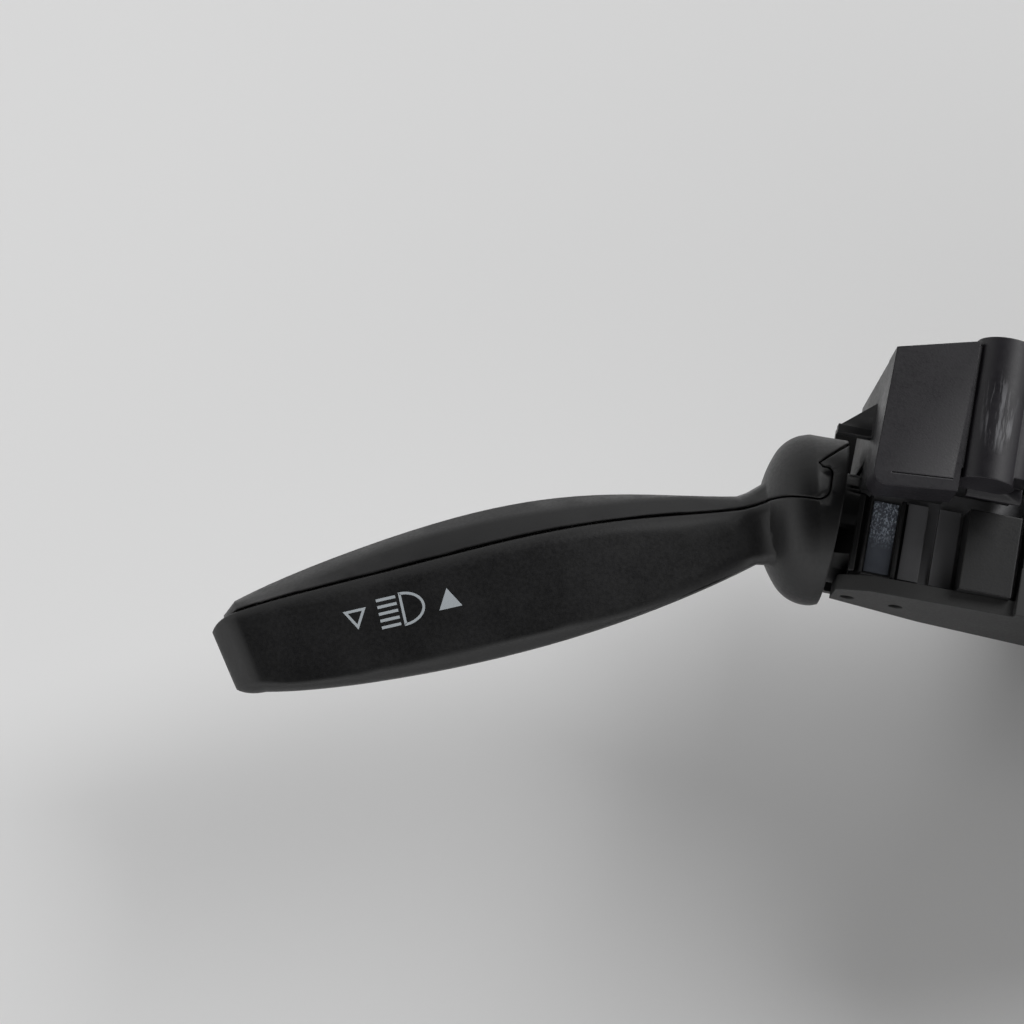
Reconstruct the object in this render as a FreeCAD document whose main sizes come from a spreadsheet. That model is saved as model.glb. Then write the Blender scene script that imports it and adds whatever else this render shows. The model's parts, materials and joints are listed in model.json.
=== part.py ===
import FreeCAD, Part
import math
import os
import re

import Sketcher
from FreeCAD import Placement, Rotation, Vector

# Steering column switch assembly in millimetres.
# +X points right as the driver sees it, +Y forward (away from the driver) and +Z up.
# The origin lies on the steering column axis, in the driver-side face of the carrier's front plate.
# Both sides are built by the same functions: "outboard" sizes are distances from the column axis.

doc = FreeCAD.newDocument("ColumnSwitch")
sheet = doc.addObject("Spreadsheet::Sheet", "Sizes")

SIZES = {
    # carrier
    "plate_thick": 3.0,
    "plate_disc_radius": 45.0,
    "arm_end": 84.9,
    "arm_end_top": 15.4,
    "arm_end_bottom": 5.8,
    "arm_root": 45.0,
    "arm_root_top": 20.5,
    "arm_mid_drop": 1.1,
    "arm_root_bottom": -3.2,
    "foot_half_width": 34.0,
    "foot_level": -50.0,
    "arm_hole_radius": 1.4,
    "arm_hole_outer": 82.0,
    "arm_hole_inner": 72.7,
    "arm_hole_level": 9.6,
    "bore_radius": 22.6,
    "collar_wall": 4.0,
    "collar_start": 10.0,
    "collar_end": 54.0,
    "shelf_thick": 2.4,
    "shelf_back": 44.0,
    "shelf_reach": 80.0,
    "web_thick": 2.4,
    "tray_top": -13.4,
    "tray_thick": 2.0,
    "tray_front": 5.5,
    "tray_back": 42.0,
    "tray_reach": 87.0,
    "clamp_slot": 3.0,
    "clamp_slot_start": 38.0,
    # clamp
    "band_start": 44.0,
    "band_width": 7.0,
    "band_thick": 1.4,
    "band_gap": 7.0,
    "ear_height": 11.0,
    "clamp_screw_radius": 2.5,
    # lever switch case
    "case_inner": 52.0,
    "case_outer": 83.4,
    "case_depth": 21.6,
    "case_bottom": -4.0,
    "case_top": 15.2,
    "case_wall": 1.7,
    "rib_top": 16.4,
    "rib_front": 3.8,
    "rib_length": 14.8,
    "clip_inner": 53.7,
    "clip_outer": 63.4,
    "clip_top": 22.0,
    "clip_back": 18.3,
    "strip_inner": 75.8,
    "strip_width": 4.8,
    "strip_thick": 0.6,
    "port_radius": 10.6,
    "port_wall": 2.0,
    "port_length": 3.3,
    # upper module
    "module_inner": 56.0,
    "module_outer": 84.0,
    "module_front": 19.2,
    "module_back_outer": 41.4,
    "module_back_inner": 45.4,
    "module_wall": 1.8,
    "module_rim": 29.0,
    "lid_top": 38.0,
    "lid_front_outer": 15.3,
    "lid_front_inner": 16.8,
    "lid_corner": 2.6,
    "lid_split": 68.5,
    "ridge_radius": 5.3,
    "ridge_half_width": 4.6,
    "ridge_rise": 1.8,
    "lower_drop": 0.9,
    "ridge_front": 19.7,
    "ridge_back": 46.4,
    "ledge_top": 30.4,
    "ledge_front": 18.6,
    "gusset_reach": 90.3,
    "gusset_front": 28.0,
    "gusset_back": 35.6,
    "gusset_top": 22.0,
    "gusset_thick": 1.6,
    "bar_thick": 1.6,
    # lever mechanism
    "pivot_out": 72.0,
    "pivot_forward": 13.9,
    "pivot_level": 6.0,
    "cradle_half_length": 9.0,
    "cradle_half_height": 6.5,
    "cradle_plate": 2.2,
    "cradle_cheek": 2.8,
    "cradle_side_gap": 0.6,
    "turn_pin_radius": 2.0,
    "beam_pin_radius": 1.8,
    "pin_clearance": 0.05,
    "play": 0.3,
    "hub_radius": 4.8,
    "core_half_height": 3.5,
    "core_tail": 8.6,
    "core_front": 3.4,
    "core_rear": 2.2,
    "core_reach": 60.0,
    "plunger_radius": 1.5,
    "plunger_reach": 12.8,
    "plunger_length": 5.6,
    "spring_wire": 0.3,
    "spring_coil_radius": 1.0,
    "spring_length": 3.4,
    "detent_gap": 0.35,
    "detent_notch_radius": 1.7,
    "detent_notch_depth": 0.9,
    "turn_travel": 6.5,
    "slider_thick": 2.4,
    "slider_height": 10.0,
    "finger_height": 1.6,
    "board_thick": 1.6,
    # stalk
    "neck_out": 100.1,
    "neck_forward": 10.3,
    "sweep_angle": 24.2,
    "bell_radius": 16.45,
    "bell_depth": 10.2,
    "bell_wall": 2.0,
    "bell_centre": 9.8,
    "bell_tilt": 13.2,
    "bell_skirt": 8.6,
    "bell_skirt_taper": 1.4,
    "mouth_in": 13.2,
    "seam_gap": 0.4,
    "tongue_in": 10.4,
    "tongue_round": 2.4,
    "tongue_side": 4.2,
    "notch_in": 7.7,
    "tongue_corner": 10.95,
    "tongue_exit": 16.5,
    "notch_round": 1.15,
    "under_taper": 0.5,
    "front_break": 0.7,
    "face_break": 1.1,
    "ridge_break": 0.8,
    "seam_break": 0.3,
    # clock spring
    "drum_radius": 41.0,
    "drum_depth": 22.0,
    "drum_wall": 1.8,
    "drum_floor": 2.0,
    "drum_bore": 21.0,
    "cover_thick": 2.0,
    "cover_opening": 31.0,
    "hub_bore": 15.0,
    "hub_wall": 3.0,
    "face_radius": 30.5,
    "face_thick": 2.6,
    "face_rise": 0.4,
    "drive_pin_radius": 2.4,
    "drive_pin_circle": 24.0,
    "drive_pin_length": 6.0,
    "cam_radius": 20.4,
    "cam_length": 6.0,
    "cam_lobe": 2.6,
    "ribbon_start": 18.3,
    "ribbon_pitch": 2.2,
    "ribbon_turns": 7.0,
    "ribbon_thick": 0.5,
    "ribbon_width": 14.0,
    "screw_circle": 39.5,
    "screw_sink": 3.0,
    # lower electronics
    "bay_half_width": 34.0,
    "bay_back": 58.0,
    "bay_top": -29.0,
    "bay_wall": 2.0,
    "bay_lid": 1.6,
    "plug_half_width": 22.0,
    "plug_bottom": -46.0,
    "plug_top": -33.0,
    "plug_depth": 14.0,
    "plug_wall": 1.5,
    "contact_pitch": 4.0,
    "contact_size": 0.8,
    "contact_count": 9.0,
    "saddle_half_width": 20.0,
    "screw_head_radius": 3.6,
    "screw_head_height": 2.2,
    "screw_radius": 2.0,
}

# Stalk stations, measured across the lever's own axis: distance from the neck, lean of the section
# towards the front edge, front edge and its height, front and rear border of the main face, seam,
# facet break, rear edge, half height, drop of the main face's border, and share of the edge breaks.
STATION_KEYS = ("at", "lean", "front", "edge", "face_front", "face_rear", "seam", "facet", "rear", "high",
                "drop", "soft")
STATIONS = {
    "root": (-3.0, 0.0, -10.6, 5.2, -9.2, 2.9, 3.9, 7.9, 9.2, 9.8, 1.2, 1.0),
    "collar": (0.8, 0.0, -7.5, 3.7, -6.7, 2.7, 3.9, 6.7, 8.1, 7.5, 1.2, 1.0),
    "neck": (2.8, 0.0, -6.85, 3.2, -6.15, 2.6, 3.9, 6.5, 7.9, 7.0, 1.2, 1.0),
    "swell": (24.0, 0.0, -11.3, 4.8, -10.2, 4.2, 6.6, 10.6, 13.4, 8.0, 1.2, 1.0),
    "waist": (48.0, 0.0, -13.3, 3.6, -11.4, 5.2, 7.7, 12.6, 16.4, 8.7, 1.2, 1.0),
    "fore": (72.0, 0.0, -13.1, 3.6, -11.3, 4.3, 7.1, 11.6, 14.9, 8.3, 1.2, 1.0),
    "brow": (86.0, 0.0, -12.0, 3.8, -10.9, 4.2, 6.8, 9.5, 12.9, 7.9, 1.1, 0.9),
    "shoulder": (99.8, 7.5, -9.9, 3.0, -8.9, 4.2, 6.1, 8.2, 9.4, 7.2, 0.9, 0.8),
    "nose": (103.9, 10.0, -9.1, 2.2, -8.2, 3.7, 5.3, 6.4, 7.6, 4.4, 0.7, 0.6),
    "tip": (105.5, 11.0, -7.9, 0.9, -7.3, 2.9, 4.2, 5.4, 6.4, 1.9, 0.4, 0.3),
    "tail": (103.6, 0.0, -8.6, 1.2, -7.6, 3.4, 5.6, 6.3, 7.1, 2.2, 0.6, 0.3),
}
for station, numbers in STATIONS.items():
    for key, number in zip(STATION_KEYS, numbers):
        SIZES[f"{station}_{key}"] = number

for row, (alias, number) in enumerate(SIZES.items(), start=1):
    sheet.set(f"A{row}", alias.replace("_", " "))
    sheet.set(f"B{row}", str(number))
    sheet.setAlias(f"B{row}", alias)
doc.recompute()

LEFT, RIGHT = "left", "right"
nodes = []


# Expressions

def bound(text):
    """The expression with every size read from the sheet."""
    return re.sub(r"[a-z_]+[a-z0-9_]*", lambda word: f"Sizes.{word.group(0)}"
                  if word.group(0) in SIZES else word.group(0), text)


def size(text):
    """The number that an expression in sheet sizes gives now."""
    return float(sheet.evalExpression(text))


def across(side, text):
    """An outboard distance as an X coordinate on the given side."""
    return f"-({text})" if side == LEFT else f"({text})"


def node(name, feature):
    """Give a finished sub-part its name and list it for export."""
    feature.Label = name
    nodes.append(feature)
    return feature


# Primitives and booleans

def block(name, xs, ys, zs):
    """A box between two expressions on each axis."""
    box = doc.addObject("Part::Box", name)
    for prop, (low, high) in zip(("Length", "Width", "Height"), (xs, ys, zs)):
        box.setExpression(prop, bound(f"({high}) - ({low})"))
    for prop, (low, high) in zip("xyz", (xs, ys, zs)):
        box.setExpression(f"Placement.Base.{prop}", bound(low))
    return box


def side_block(name, side, outs, ys, zs):
    """A box whose X span is given as inner and outer outboard distances."""
    inner, outer = outs
    xs = (f"-({outer})", f"-({inner})") if side == LEFT else (inner, outer)
    return block(name, xs, ys, zs)


AXIS_TURNS = {"x": Rotation(Vector(0, 1, 0), 90), "y": Rotation(Vector(1, 0, 0), -90), "z": Rotation()}


def rod(name, axis, radius, length, x, y, z):
    """A cylinder that runs along +axis from the point x, y, z."""
    cylinder = doc.addObject("Part::Cylinder", name)
    cylinder.setExpression("Radius", bound(radius))
    cylinder.setExpression("Height", bound(length))
    cylinder.Placement = Placement(Vector(0, 0, 0), AXIS_TURNS[axis])
    for prop, text in zip("xyz", (x, y, z)):
        cylinder.setExpression(f"Placement.Base.{prop}", bound(text))
    return cylinder


def ball(name, radius, x, y, z):
    """A sphere about the point x, y, z."""
    sphere = doc.addObject("Part::Sphere", name)
    sphere.setExpression("Radius", bound(radius))
    for prop, text in zip("xyz", (x, y, z)):
        sphere.setExpression(f"Placement.Base.{prop}", bound(text))
    return sphere


def fuse(name, parts):
    """One solid made of several that meet."""
    whole = doc.addObject("Part::MultiFuse", name)
    whole.Shapes = parts
    whole.Refine = True
    return whole


def cut(name, base, tools):
    """A solid with others taken away from it."""
    tool = tools[0] if len(tools) == 1 else fuse(f"{name}_tools", tools)
    rest = doc.addObject("Part::Cut", name)
    rest.Base = base
    rest.Tool = tool
    rest.Refine = True
    return rest


def gather(name, parts):
    """Separate solids kept in one sub-part."""
    group = doc.addObject("Part::Compound", name)
    group.Links = parts
    return group


# Sketches and body features

def origin_plane(body, role):
    """One of a body's own origin planes."""
    return next(feature for feature in body.Origin.OriginFeatures if feature.Role == role)


def sketch(body, name, role, away, shift=("0", "0"), turn=0.0, lean=0.0):
    """An empty sketch on an origin plane, moved along its normal and within itself, turned and leant."""
    drawing = body.newObject("Sketcher::SketchObject", name)
    drawing.AttachmentSupport = [(origin_plane(body, role), "")]
    drawing.MapMode = "FlatFace"
    drawing.AttachmentOffset = Placement(Vector(0, 0, 0), Rotation(Vector(0, 1, 0), lean)
                                         * Rotation(Vector(0, 0, 1), turn))
    for prop, text in zip("xyz", (*shift, away)):
        drawing.setExpression(f"AttachmentOffset.Base.{prop}", bound(text))
    return drawing


def lay(drawing, corners):
    """Lines and arcs through numeric corners: (x, y), and (x, y, via_x, via_y) ends an arc."""
    for index, corner in enumerate(corners):
        start = Vector(*corners[index - 1][:2], 0)
        end = Vector(*corner[:2], 0)
        if len(corner) == 4:
            drawing.addGeometry(Part.Arc(start, Vector(*corner[2:], 0), end))
        else:
            drawing.addGeometry(Part.LineSegment(start, end))


def draw(drawing, corners):
    """A closed outline: corners are (x, y) expressions, and (x, y, via_x, via_y) ends an arc."""
    numbers = [[size(text) for text in corner] for corner in corners]
    first = drawing.GeometryCount
    count = len(corners)
    lay(drawing, numbers)
    for index in range(count):
        arc, next_arc = len(corners[index]) == 4, len(corners[(index + 1) % count]) == 4
        if not arc and not next_arc:
            joint = Sketcher.Constraint("Coincident", first + index, 2, first + (index + 1) % count, 1)
            drawing.addConstraint(joint)
        if not arc:
            for kind, place in (("DistanceX", 0), ("DistanceY", 1)):
                fixed = Sketcher.Constraint(kind, first + index, 2, numbers[index][place])
                at = drawing.addConstraint(fixed)
                drawing.setExpression(f"Constraints[{at}]", bound(corners[index][place]))


def circle(drawing, x, y, radius):
    """A circle with its centre and radius bound to the sheet."""
    at = drawing.addGeometry(Part.Circle(Vector(size(x), size(y), 0), Vector(0, 0, 1), size(radius)))
    for fixed, text in ((Sketcher.Constraint("DistanceX", at, 3, size(x)), x),
                        (Sketcher.Constraint("DistanceY", at, 3, size(y)), y),
                        (Sketcher.Constraint("Radius", at, size(radius)), radius)):
        place = drawing.addConstraint(fixed)
        drawing.setExpression(f"Constraints[{place}]", bound(text))


def new_body(name):
    """An empty body."""
    return doc.addObject("PartDesign::Body", name)


def pad(body, drawing, length, back=False, middle=False):
    """Material added along the sketch's normal, or against it, or both ways."""
    feature = body.newObject("PartDesign::Pad", f"{drawing.Name}_pad")
    feature.Profile = drawing
    feature.setExpression("Length", bound(length))
    feature.Reversed = back
    feature.Midplane = middle
    doc.recompute()
    return feature


def pocket(body, drawing, length, back=False, middle=False):
    """Material taken away against the sketch's normal, or along it, or both ways."""
    before = body.Shape.Volume
    feature = body.newObject("PartDesign::Pocket", f"{drawing.Name}_pocket")
    feature.Profile = drawing
    feature.setExpression("Length", bound(length))
    feature.Reversed = back
    feature.Midplane = middle
    doc.recompute()
    if body.Shape.Volume > before - 0.01:
        raise RuntimeError(f"{feature.Name} cuts nothing")
    return feature


def revolve(body, drawing, groove=False):
    """A full turn of the sketch about its own vertical axis."""
    before = body.Shape.Volume if groove else 0.0
    kind = "PartDesign::Groove" if groove else "PartDesign::Revolution"
    feature = body.newObject(kind, f"{drawing.Name}_turn")
    feature.Profile = drawing
    feature.ReferenceAxis = (drawing, ["V_Axis"])
    feature.Angle = 360
    doc.recompute()
    if groove and body.Shape.Volume > before - 0.01:
        raise RuntimeError(f"{feature.Name} cuts nothing")
    return feature


# Carrier

def make_carrier():
    """The moulded carrier: front plate with two arms, column collar, shelves, saddle and webs."""
    body = new_body("carrier")
    outline = sketch(body, "carrier_plate", "XZ_Plane", "0")
    half = [("foot_half_width", "foot_level"),
            ("foot_half_width", "foot_level + 20"),
            ("arm_root - 0.6", "arm_root_bottom - 2"),
            ("arm_root", "arm_root_bottom"),
            ("(arm_root + arm_end) / 2 + 2", "(arm_root_bottom + arm_end_bottom) / 2 - 1.3"),
            ("arm_end", "arm_end_bottom"),
            ("arm_end", "arm_end_top - 1"),
            ("arm_end - 1", "arm_end_top"),
            ("arm_end - 6", "arm_root_top - 2"),
            ("(arm_root + arm_end) / 2", "arm_root_top - arm_mid_drop"),
            ("arm_root", "arm_root_top"),
            ("plate_disc_radius * 0.86", "arm_root_top + 2.6")]
    left_half = [(f"-({x})", y) for x, y in reversed(half)]
    crown = (left_half[0][0], left_half[0][1], "0", "plate_disc_radius")
    draw(outline, half + [crown] + left_half[1:])
    circle(outline, "0", "0", "bore_radius + 1.6")
    for sign in ("-", ""):
        for place in ("arm_hole_outer", "arm_hole_inner"):
            circle(outline, f"{sign}{place}", "arm_hole_level", "arm_hole_radius")
    for angle in SCREW_ANGLES:
        x, z = screw_place(angle, "screw_circle")
        circle(outline, x, z, "screw_radius")
    pad(body, outline, "plate_thick", back=True)

    collar = sketch(body, "carrier_collar", "XZ_Plane", "-collar_start")
    circle(collar, "0", "0", "bore_radius + collar_wall")
    circle(collar, "0", "0", "bore_radius")
    pad(body, collar, "collar_end - collar_start", back=True)

    spider = sketch(body, "carrier_spider", "XZ_Plane", "-plate_thick")
    circle(spider, "0", "0", "bore_radius + collar_wall + 2")
    circle(spider, "0", "0", "bore_radius + 1.6")
    pad(body, spider, "collar_start - plate_thick + 2", back=True)

    for side, sign in ((LEFT, "-"), (RIGHT, "")):
        shelf = sketch(body, f"carrier_shelf_{side}", "XY_Plane", "case_bottom")
        draw(shelf, [(f"{sign}(bore_radius + collar_wall - 2)", "plate_thick"),
                     (f"{sign}(case_inner + 9)", "plate_thick"),
                     (f"{sign}(shelf_reach - 10)", "plate_thick + 2.4"),
                     (f"{sign}shelf_reach", "plate_thick + 2.4"),
                     (f"{sign}shelf_reach", "shelf_back - 3"),
                     (f"{sign}(shelf_reach - 8)", "shelf_back"),
                     (f"{sign}(bore_radius + collar_wall - 2)", "shelf_back")])
        pad(body, shelf, "shelf_thick", back=True)
        wall = sketch(body, f"carrier_wall_{side}", "YZ_Plane", f"{sign}(case_inner - web_thick / 2)")
        draw(wall, [("plate_thick - 0.5", "case_bottom"),
                    ("plate_thick - 0.5", "arm_root_top - 0.4"),
                    ("shelf_back - 14", "arm_root_top - 0.4"),
                    ("shelf_back", "case_bottom + 2"),
                    ("shelf_back", "case_bottom - shelf_thick"),
                    ("tray_back", "tray_top"),
                    ("tray_back", "tray_top - tray_thick"),
                    ("tray_front", "tray_top - tray_thick"),
                    ("tray_front", "case_bottom - shelf_thick")])
        pad(body, wall, "web_thick", middle=True)
        tray = sketch(body, f"carrier_tray_{side}", "XY_Plane", "tray_top")
        draw(tray, [(f"{sign}case_inner", "tray_front"), (f"{sign}(tray_reach - 3)", "tray_front"),
                    (f"{sign}tray_reach", "tray_front + 3"), (f"{sign}tray_reach", "tray_back - 3"),
                    (f"{sign}(tray_reach - 3)", "tray_back"), (f"{sign}case_inner", "tray_back")])
        pad(body, tray, "tray_thick", back=True)
        pad_front = sketch(body, f"carrier_boss_{side}", "XY_Plane", "arm_root_top - 1")
        draw(pad_front, [(f"{sign}(plate_disc_radius - 4)", "0"),
                         (f"{sign}(case_inner + 0.4)", "0"),
                         (f"{sign}(case_inner + 0.4)", "plate_thick + 6"),
                         (f"{sign}(plate_disc_radius - 4)", "plate_thick + 6")])
        pad(body, pad_front, "2.4")

    saddle = sketch(body, "carrier_saddle", "XZ_Plane", "-plate_thick")
    draw(saddle, [("-saddle_half_width", "bay_top"), ("saddle_half_width", "bay_top"),
                  ("saddle_half_width", "-bore_radius + 4"), ("saddle_half_width - 6", "-bore_radius - 1"),
                  ("-saddle_half_width + 6", "-bore_radius - 1"), ("-saddle_half_width", "-bore_radius + 4")])
    pad(body, saddle, "collar_end - 14 - plate_thick", back=True)

    slots = sketch(body, "carrier_slots", "XY_Plane", "0")
    draw(slots, [("-clamp_slot / 2", "clamp_slot_start"), ("clamp_slot / 2", "clamp_slot_start"),
                 ("clamp_slot / 2", "collar_end + 1"), ("-clamp_slot / 2", "collar_end + 1")])
    pocket(body, slots, "bore_radius + collar_wall + 2", back=True)
    for side, sign in ((LEFT, "-"), (RIGHT, "")):
        relief = sketch(body, f"carrier_relief_{side}", "XZ_Plane", "-(collar_end + 1)")
        draw(relief, [(f"{sign}(bore_radius - 1)", "-clamp_slot / 2"),
                      (f"{sign}(bore_radius + collar_wall + 2)", "-clamp_slot / 2"),
                      (f"{sign}(bore_radius + collar_wall + 2)", "clamp_slot / 2"),
                      (f"{sign}(bore_radius - 1)", "clamp_slot / 2")])
        pocket(body, relief, "collar_end + 1 - shelf_back", back=True)
    return node("carrier_housing", body)


SCREW_ANGLES = (40, 140, 270)


def screw_place(angle, circle_radius):
    """The X and Z expressions of a point on a circle about the column axis."""
    return (f"({circle_radius}) * {math.cos(math.radians(angle)):.5f}",
            f"({circle_radius}) * {math.sin(math.radians(angle)):.5f}")


def make_clamp():
    """A split steel band round the collar's rear end, and the screw that draws its ears together."""
    inner = "bore_radius + collar_wall + pin_clearance"
    ring = rod("band_outer", "y", f"{inner} + band_thick", "band_width", "0", "band_start", "0")
    hole = rod("band_inner", "y", inner, "band_width + 2", "0", "band_start - 1", "0")
    split = block("band_split", ("-band_gap / 2", "band_gap / 2"),
                  ("band_start - 1", "band_start + band_width + 1"), ("0", "bore_radius + collar_wall + 5"))
    ends = []
    for side, sign in ((LEFT, "-"), (RIGHT, "")):
        ends.append(side_block(f"band_ear_{side}", side, ("band_gap / 2", "band_gap / 2 + band_thick"),
                               ("band_start", "band_start + band_width"),
                               (f"{inner} - 0.3", f"{inner} + ear_height")))
    eye = rod("band_eye", "x", "clamp_screw_radius + pin_clearance", "30",
              "-15", "band_start + band_width / 2", f"{inner} + ear_height / 2 + 1")
    band = cut("band_bored", fuse("band_with_ears", [cut("band_ring", ring, [hole, split]), *ends]), [eye])
    node("column_clamp", band)

    level = f"{inner} + ear_height / 2 + 1"
    middle = "band_start + band_width / 2"
    shank = rod("clamp_shank", "x", "clamp_screw_radius", "band_gap + 2 * band_thick + 7",
                "-(band_gap / 2 + band_thick)", middle, level)
    head = rod("clamp_head", "x", "clamp_screw_radius + 1.9", "3", "-(band_gap / 2 + band_thick + 3)",
               middle, level)
    drive = rod("clamp_drive", "x", "clamp_screw_radius - 0.9", "2", "-(band_gap / 2 + band_thick + 3.5)",
                middle, level)
    nut_block = block("clamp_nut_blank", ("band_gap / 2 + band_thick", "band_gap / 2 + band_thick + 4"),
                      (f"{middle} - 3.4", f"{middle} + 3.4"), (f"{level} - 4", f"{level} + 4"))
    nut = cut("clamp_nut_bored", nut_block,
              [rod("clamp_nut_hole", "x", "clamp_screw_radius + pin_clearance", "30", "0", middle, level)])
    node("clamp_screw", cut("clamp_screw_cut", fuse("clamp_screw_whole", [shank, head]), [drive]))
    node("clamp_nut", nut)


# Lever switch cases and upper modules

def make_switch_case(side):
    """The case of one lever switch: a round port towards its stalk, ribs and a raised block on top."""
    front, back = "plate_thick", "plate_thick + case_depth"
    shell = side_block(f"case_shell_{side}", side, ("case_inner", "case_outer"), (front, back),
                       ("case_bottom", "case_top"))
    hollow = side_block(f"case_hollow_{side}", side, ("case_inner + case_wall", "case_outer + 1"),
                        (f"{front} + case_wall", f"{back} - case_wall"),
                        ("case_bottom + case_wall", "case_top - 0.9"))
    pin_holes = rod(f"case_pin_holes_{side}", "y", "turn_pin_radius + pin_clearance", "case_depth + 2",
                    across(side, "pivot_out"), f"{front} - 1", "pivot_level")
    ribs = []
    for index, (inner, outer, rise) in enumerate((("case_outer - 1", "case_outer", "0.2"),
                                                  ("case_outer - 2.5", "case_outer - 1.9", "0.4"),
                                                  ("strip_inner - 1.1", "strip_inner - 0.4", "0.4"),
                                                  ("strip_inner - 5.5", "strip_inner - 1.7", "-0.2"),
                                                  ("strip_inner - 11.7", "strip_inner - 7.6", "-0.2"))):
        ribs.append(side_block(f"case_rib_{side}_{index}", side, (inner, outer),
                               ("rib_front", "rib_front + rib_length"),
                               ("case_top - 0.1", f"rib_top + ({rise})")))
    clip_wall = side_block(f"case_clip_wall_{side}", side, ("clip_inner", "clip_outer"),
                           (front, "clip_back"), ("case_top - 0.1", "clip_top"))
    port, port_hole = (
        rod(f"case_{name}_{side}", "x", radius, f"port_length + 1 + {extra}",
            f"-(case_outer + port_length + {extra})" if side == LEFT else "case_outer - 1",
            "pivot_forward", "pivot_level")
        for name, radius, extra in (("port", "port_radius", "0"), ("port_hole", "port_radius - port_wall", "1")))
    box = cut(f"case_box_{side}", fuse(f"case_outside_{side}", [shell, *ribs, clip_wall]), [hollow])
    whole = fuse(f"case_whole_{side}", [box, port])
    node(f"{side}_switch_case", cut(f"case_cut_{side}", whole, [port_hole, pin_holes]))
    node(f"{side}_shield_strip",
         side_block(f"shield_{side}", side, ("strip_inner", "strip_inner + strip_width"),
                    ("rib_front + 0.4", "rib_front + rib_length - 0.6"),
                    ("case_top", "case_top + strip_thick")))


def make_module(side):
    """The upper module behind the switch case: a hollow box, its lid with a cable ridge, and a board."""
    sign = "-" if side == LEFT else ""
    body = new_body(f"module_{side}")
    outline = sketch(body, f"module_outline_{side}", "XY_Plane", "case_bottom")
    draw(outline, [(f"{sign}module_inner", "module_front + 2.2"),
                   (f"{sign}(lid_split - 1)", "module_front + 2.2"),
                   (f"{sign}lid_split", "module_front"),
                   (f"{sign}module_outer", "module_front"),
                   (f"{sign}(module_outer - 0.4)", "module_back_outer"),
                   (f"{sign}lid_split", "module_back_inner"),
                   (f"{sign}module_inner", "module_back_inner")])
    pad(body, outline, "module_rim - case_bottom")
    clearance = sketch(body, f"module_step_{side}", "YZ_Plane", f"{sign}(module_inner - 2)")
    draw(clearance, [("module_front - 2", "case_bottom - 1"),
                     ("plate_thick + case_depth", "case_bottom - 1"),
                     ("plate_thick + case_depth", "rib_top + 1"), ("module_front - 2", "rib_top + 1")])
    pocket(body, clearance, "module_outer - module_inner + 4", back=side == RIGHT)
    hollow = sketch(body, f"module_hollow_{side}", "XY_Plane", "module_rim")
    wall = "module_wall"
    back_inside = f"plate_thick + case_depth + {wall}"
    draw(hollow, [(f"{sign}(module_inner + {wall})", back_inside),
                  (f"{sign}(module_outer - {wall})", back_inside),
                  (f"{sign}(module_outer - 0.4 - {wall})", f"module_back_outer - {wall}"),
                  (f"{sign}lid_split", f"module_back_inner - {wall} - 0.1"),
                  (f"{sign}(module_inner + {wall})", f"module_back_inner - {wall} - 0.1")])
    pocket(body, hollow, f"module_rim - case_bottom - {wall}")
    gusset = sketch(body, f"module_gusset_{side}", "XY_Plane", "gusset_top")
    draw(gusset, [(f"{sign}(module_outer - 1)", "gusset_front"), (f"{sign}gusset_reach", "gusset_front"),
                  (f"{sign}(gusset_reach - 0.6)", "gusset_front + 1.8"),
                  (f"{sign}(module_outer - 1)", "gusset_back")])
    pad(body, gusset, "gusset_thick", back=True)
    ridge = sketch(body, f"module_bar_{side}", "XY_Plane", "gusset_top + 0.6")
    draw(ridge, [(f"{sign}(module_outer - 1)", "gusset_front"), (f"{sign}gusset_reach", "gusset_front"),
                 (f"{sign}gusset_reach", "gusset_front + bar_thick"),
                 (f"{sign}(module_outer - 1)", "gusset_front + bar_thick")])
    pad(body, ridge, "gusset_thick + 0.6", back=True)
    node(f"{side}_module_case", body)

    board = side_block(f"module_board_{side}", side, ("module_inner + module_wall", "lid_split + 10"),
                       (back_inside, f"module_back_outer - {wall} - 0.6"),
                       ("module_rim - 9", "module_rim - 9 + board_thick"))
    posts = [rod(f"module_post_{side}_{index}", "z", "1.6", "module_rim - 9 - (case_bottom + module_wall)",
                 across(side, f"module_inner + module_wall + 3 + {index * 14}"),
                 f"{back_inside} + 5", "case_bottom + module_wall") for index in range(2)]
    node(f"{side}_module_board", board)
    node(f"{side}_board_posts", gather(f"posts_{side}", posts))


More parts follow.
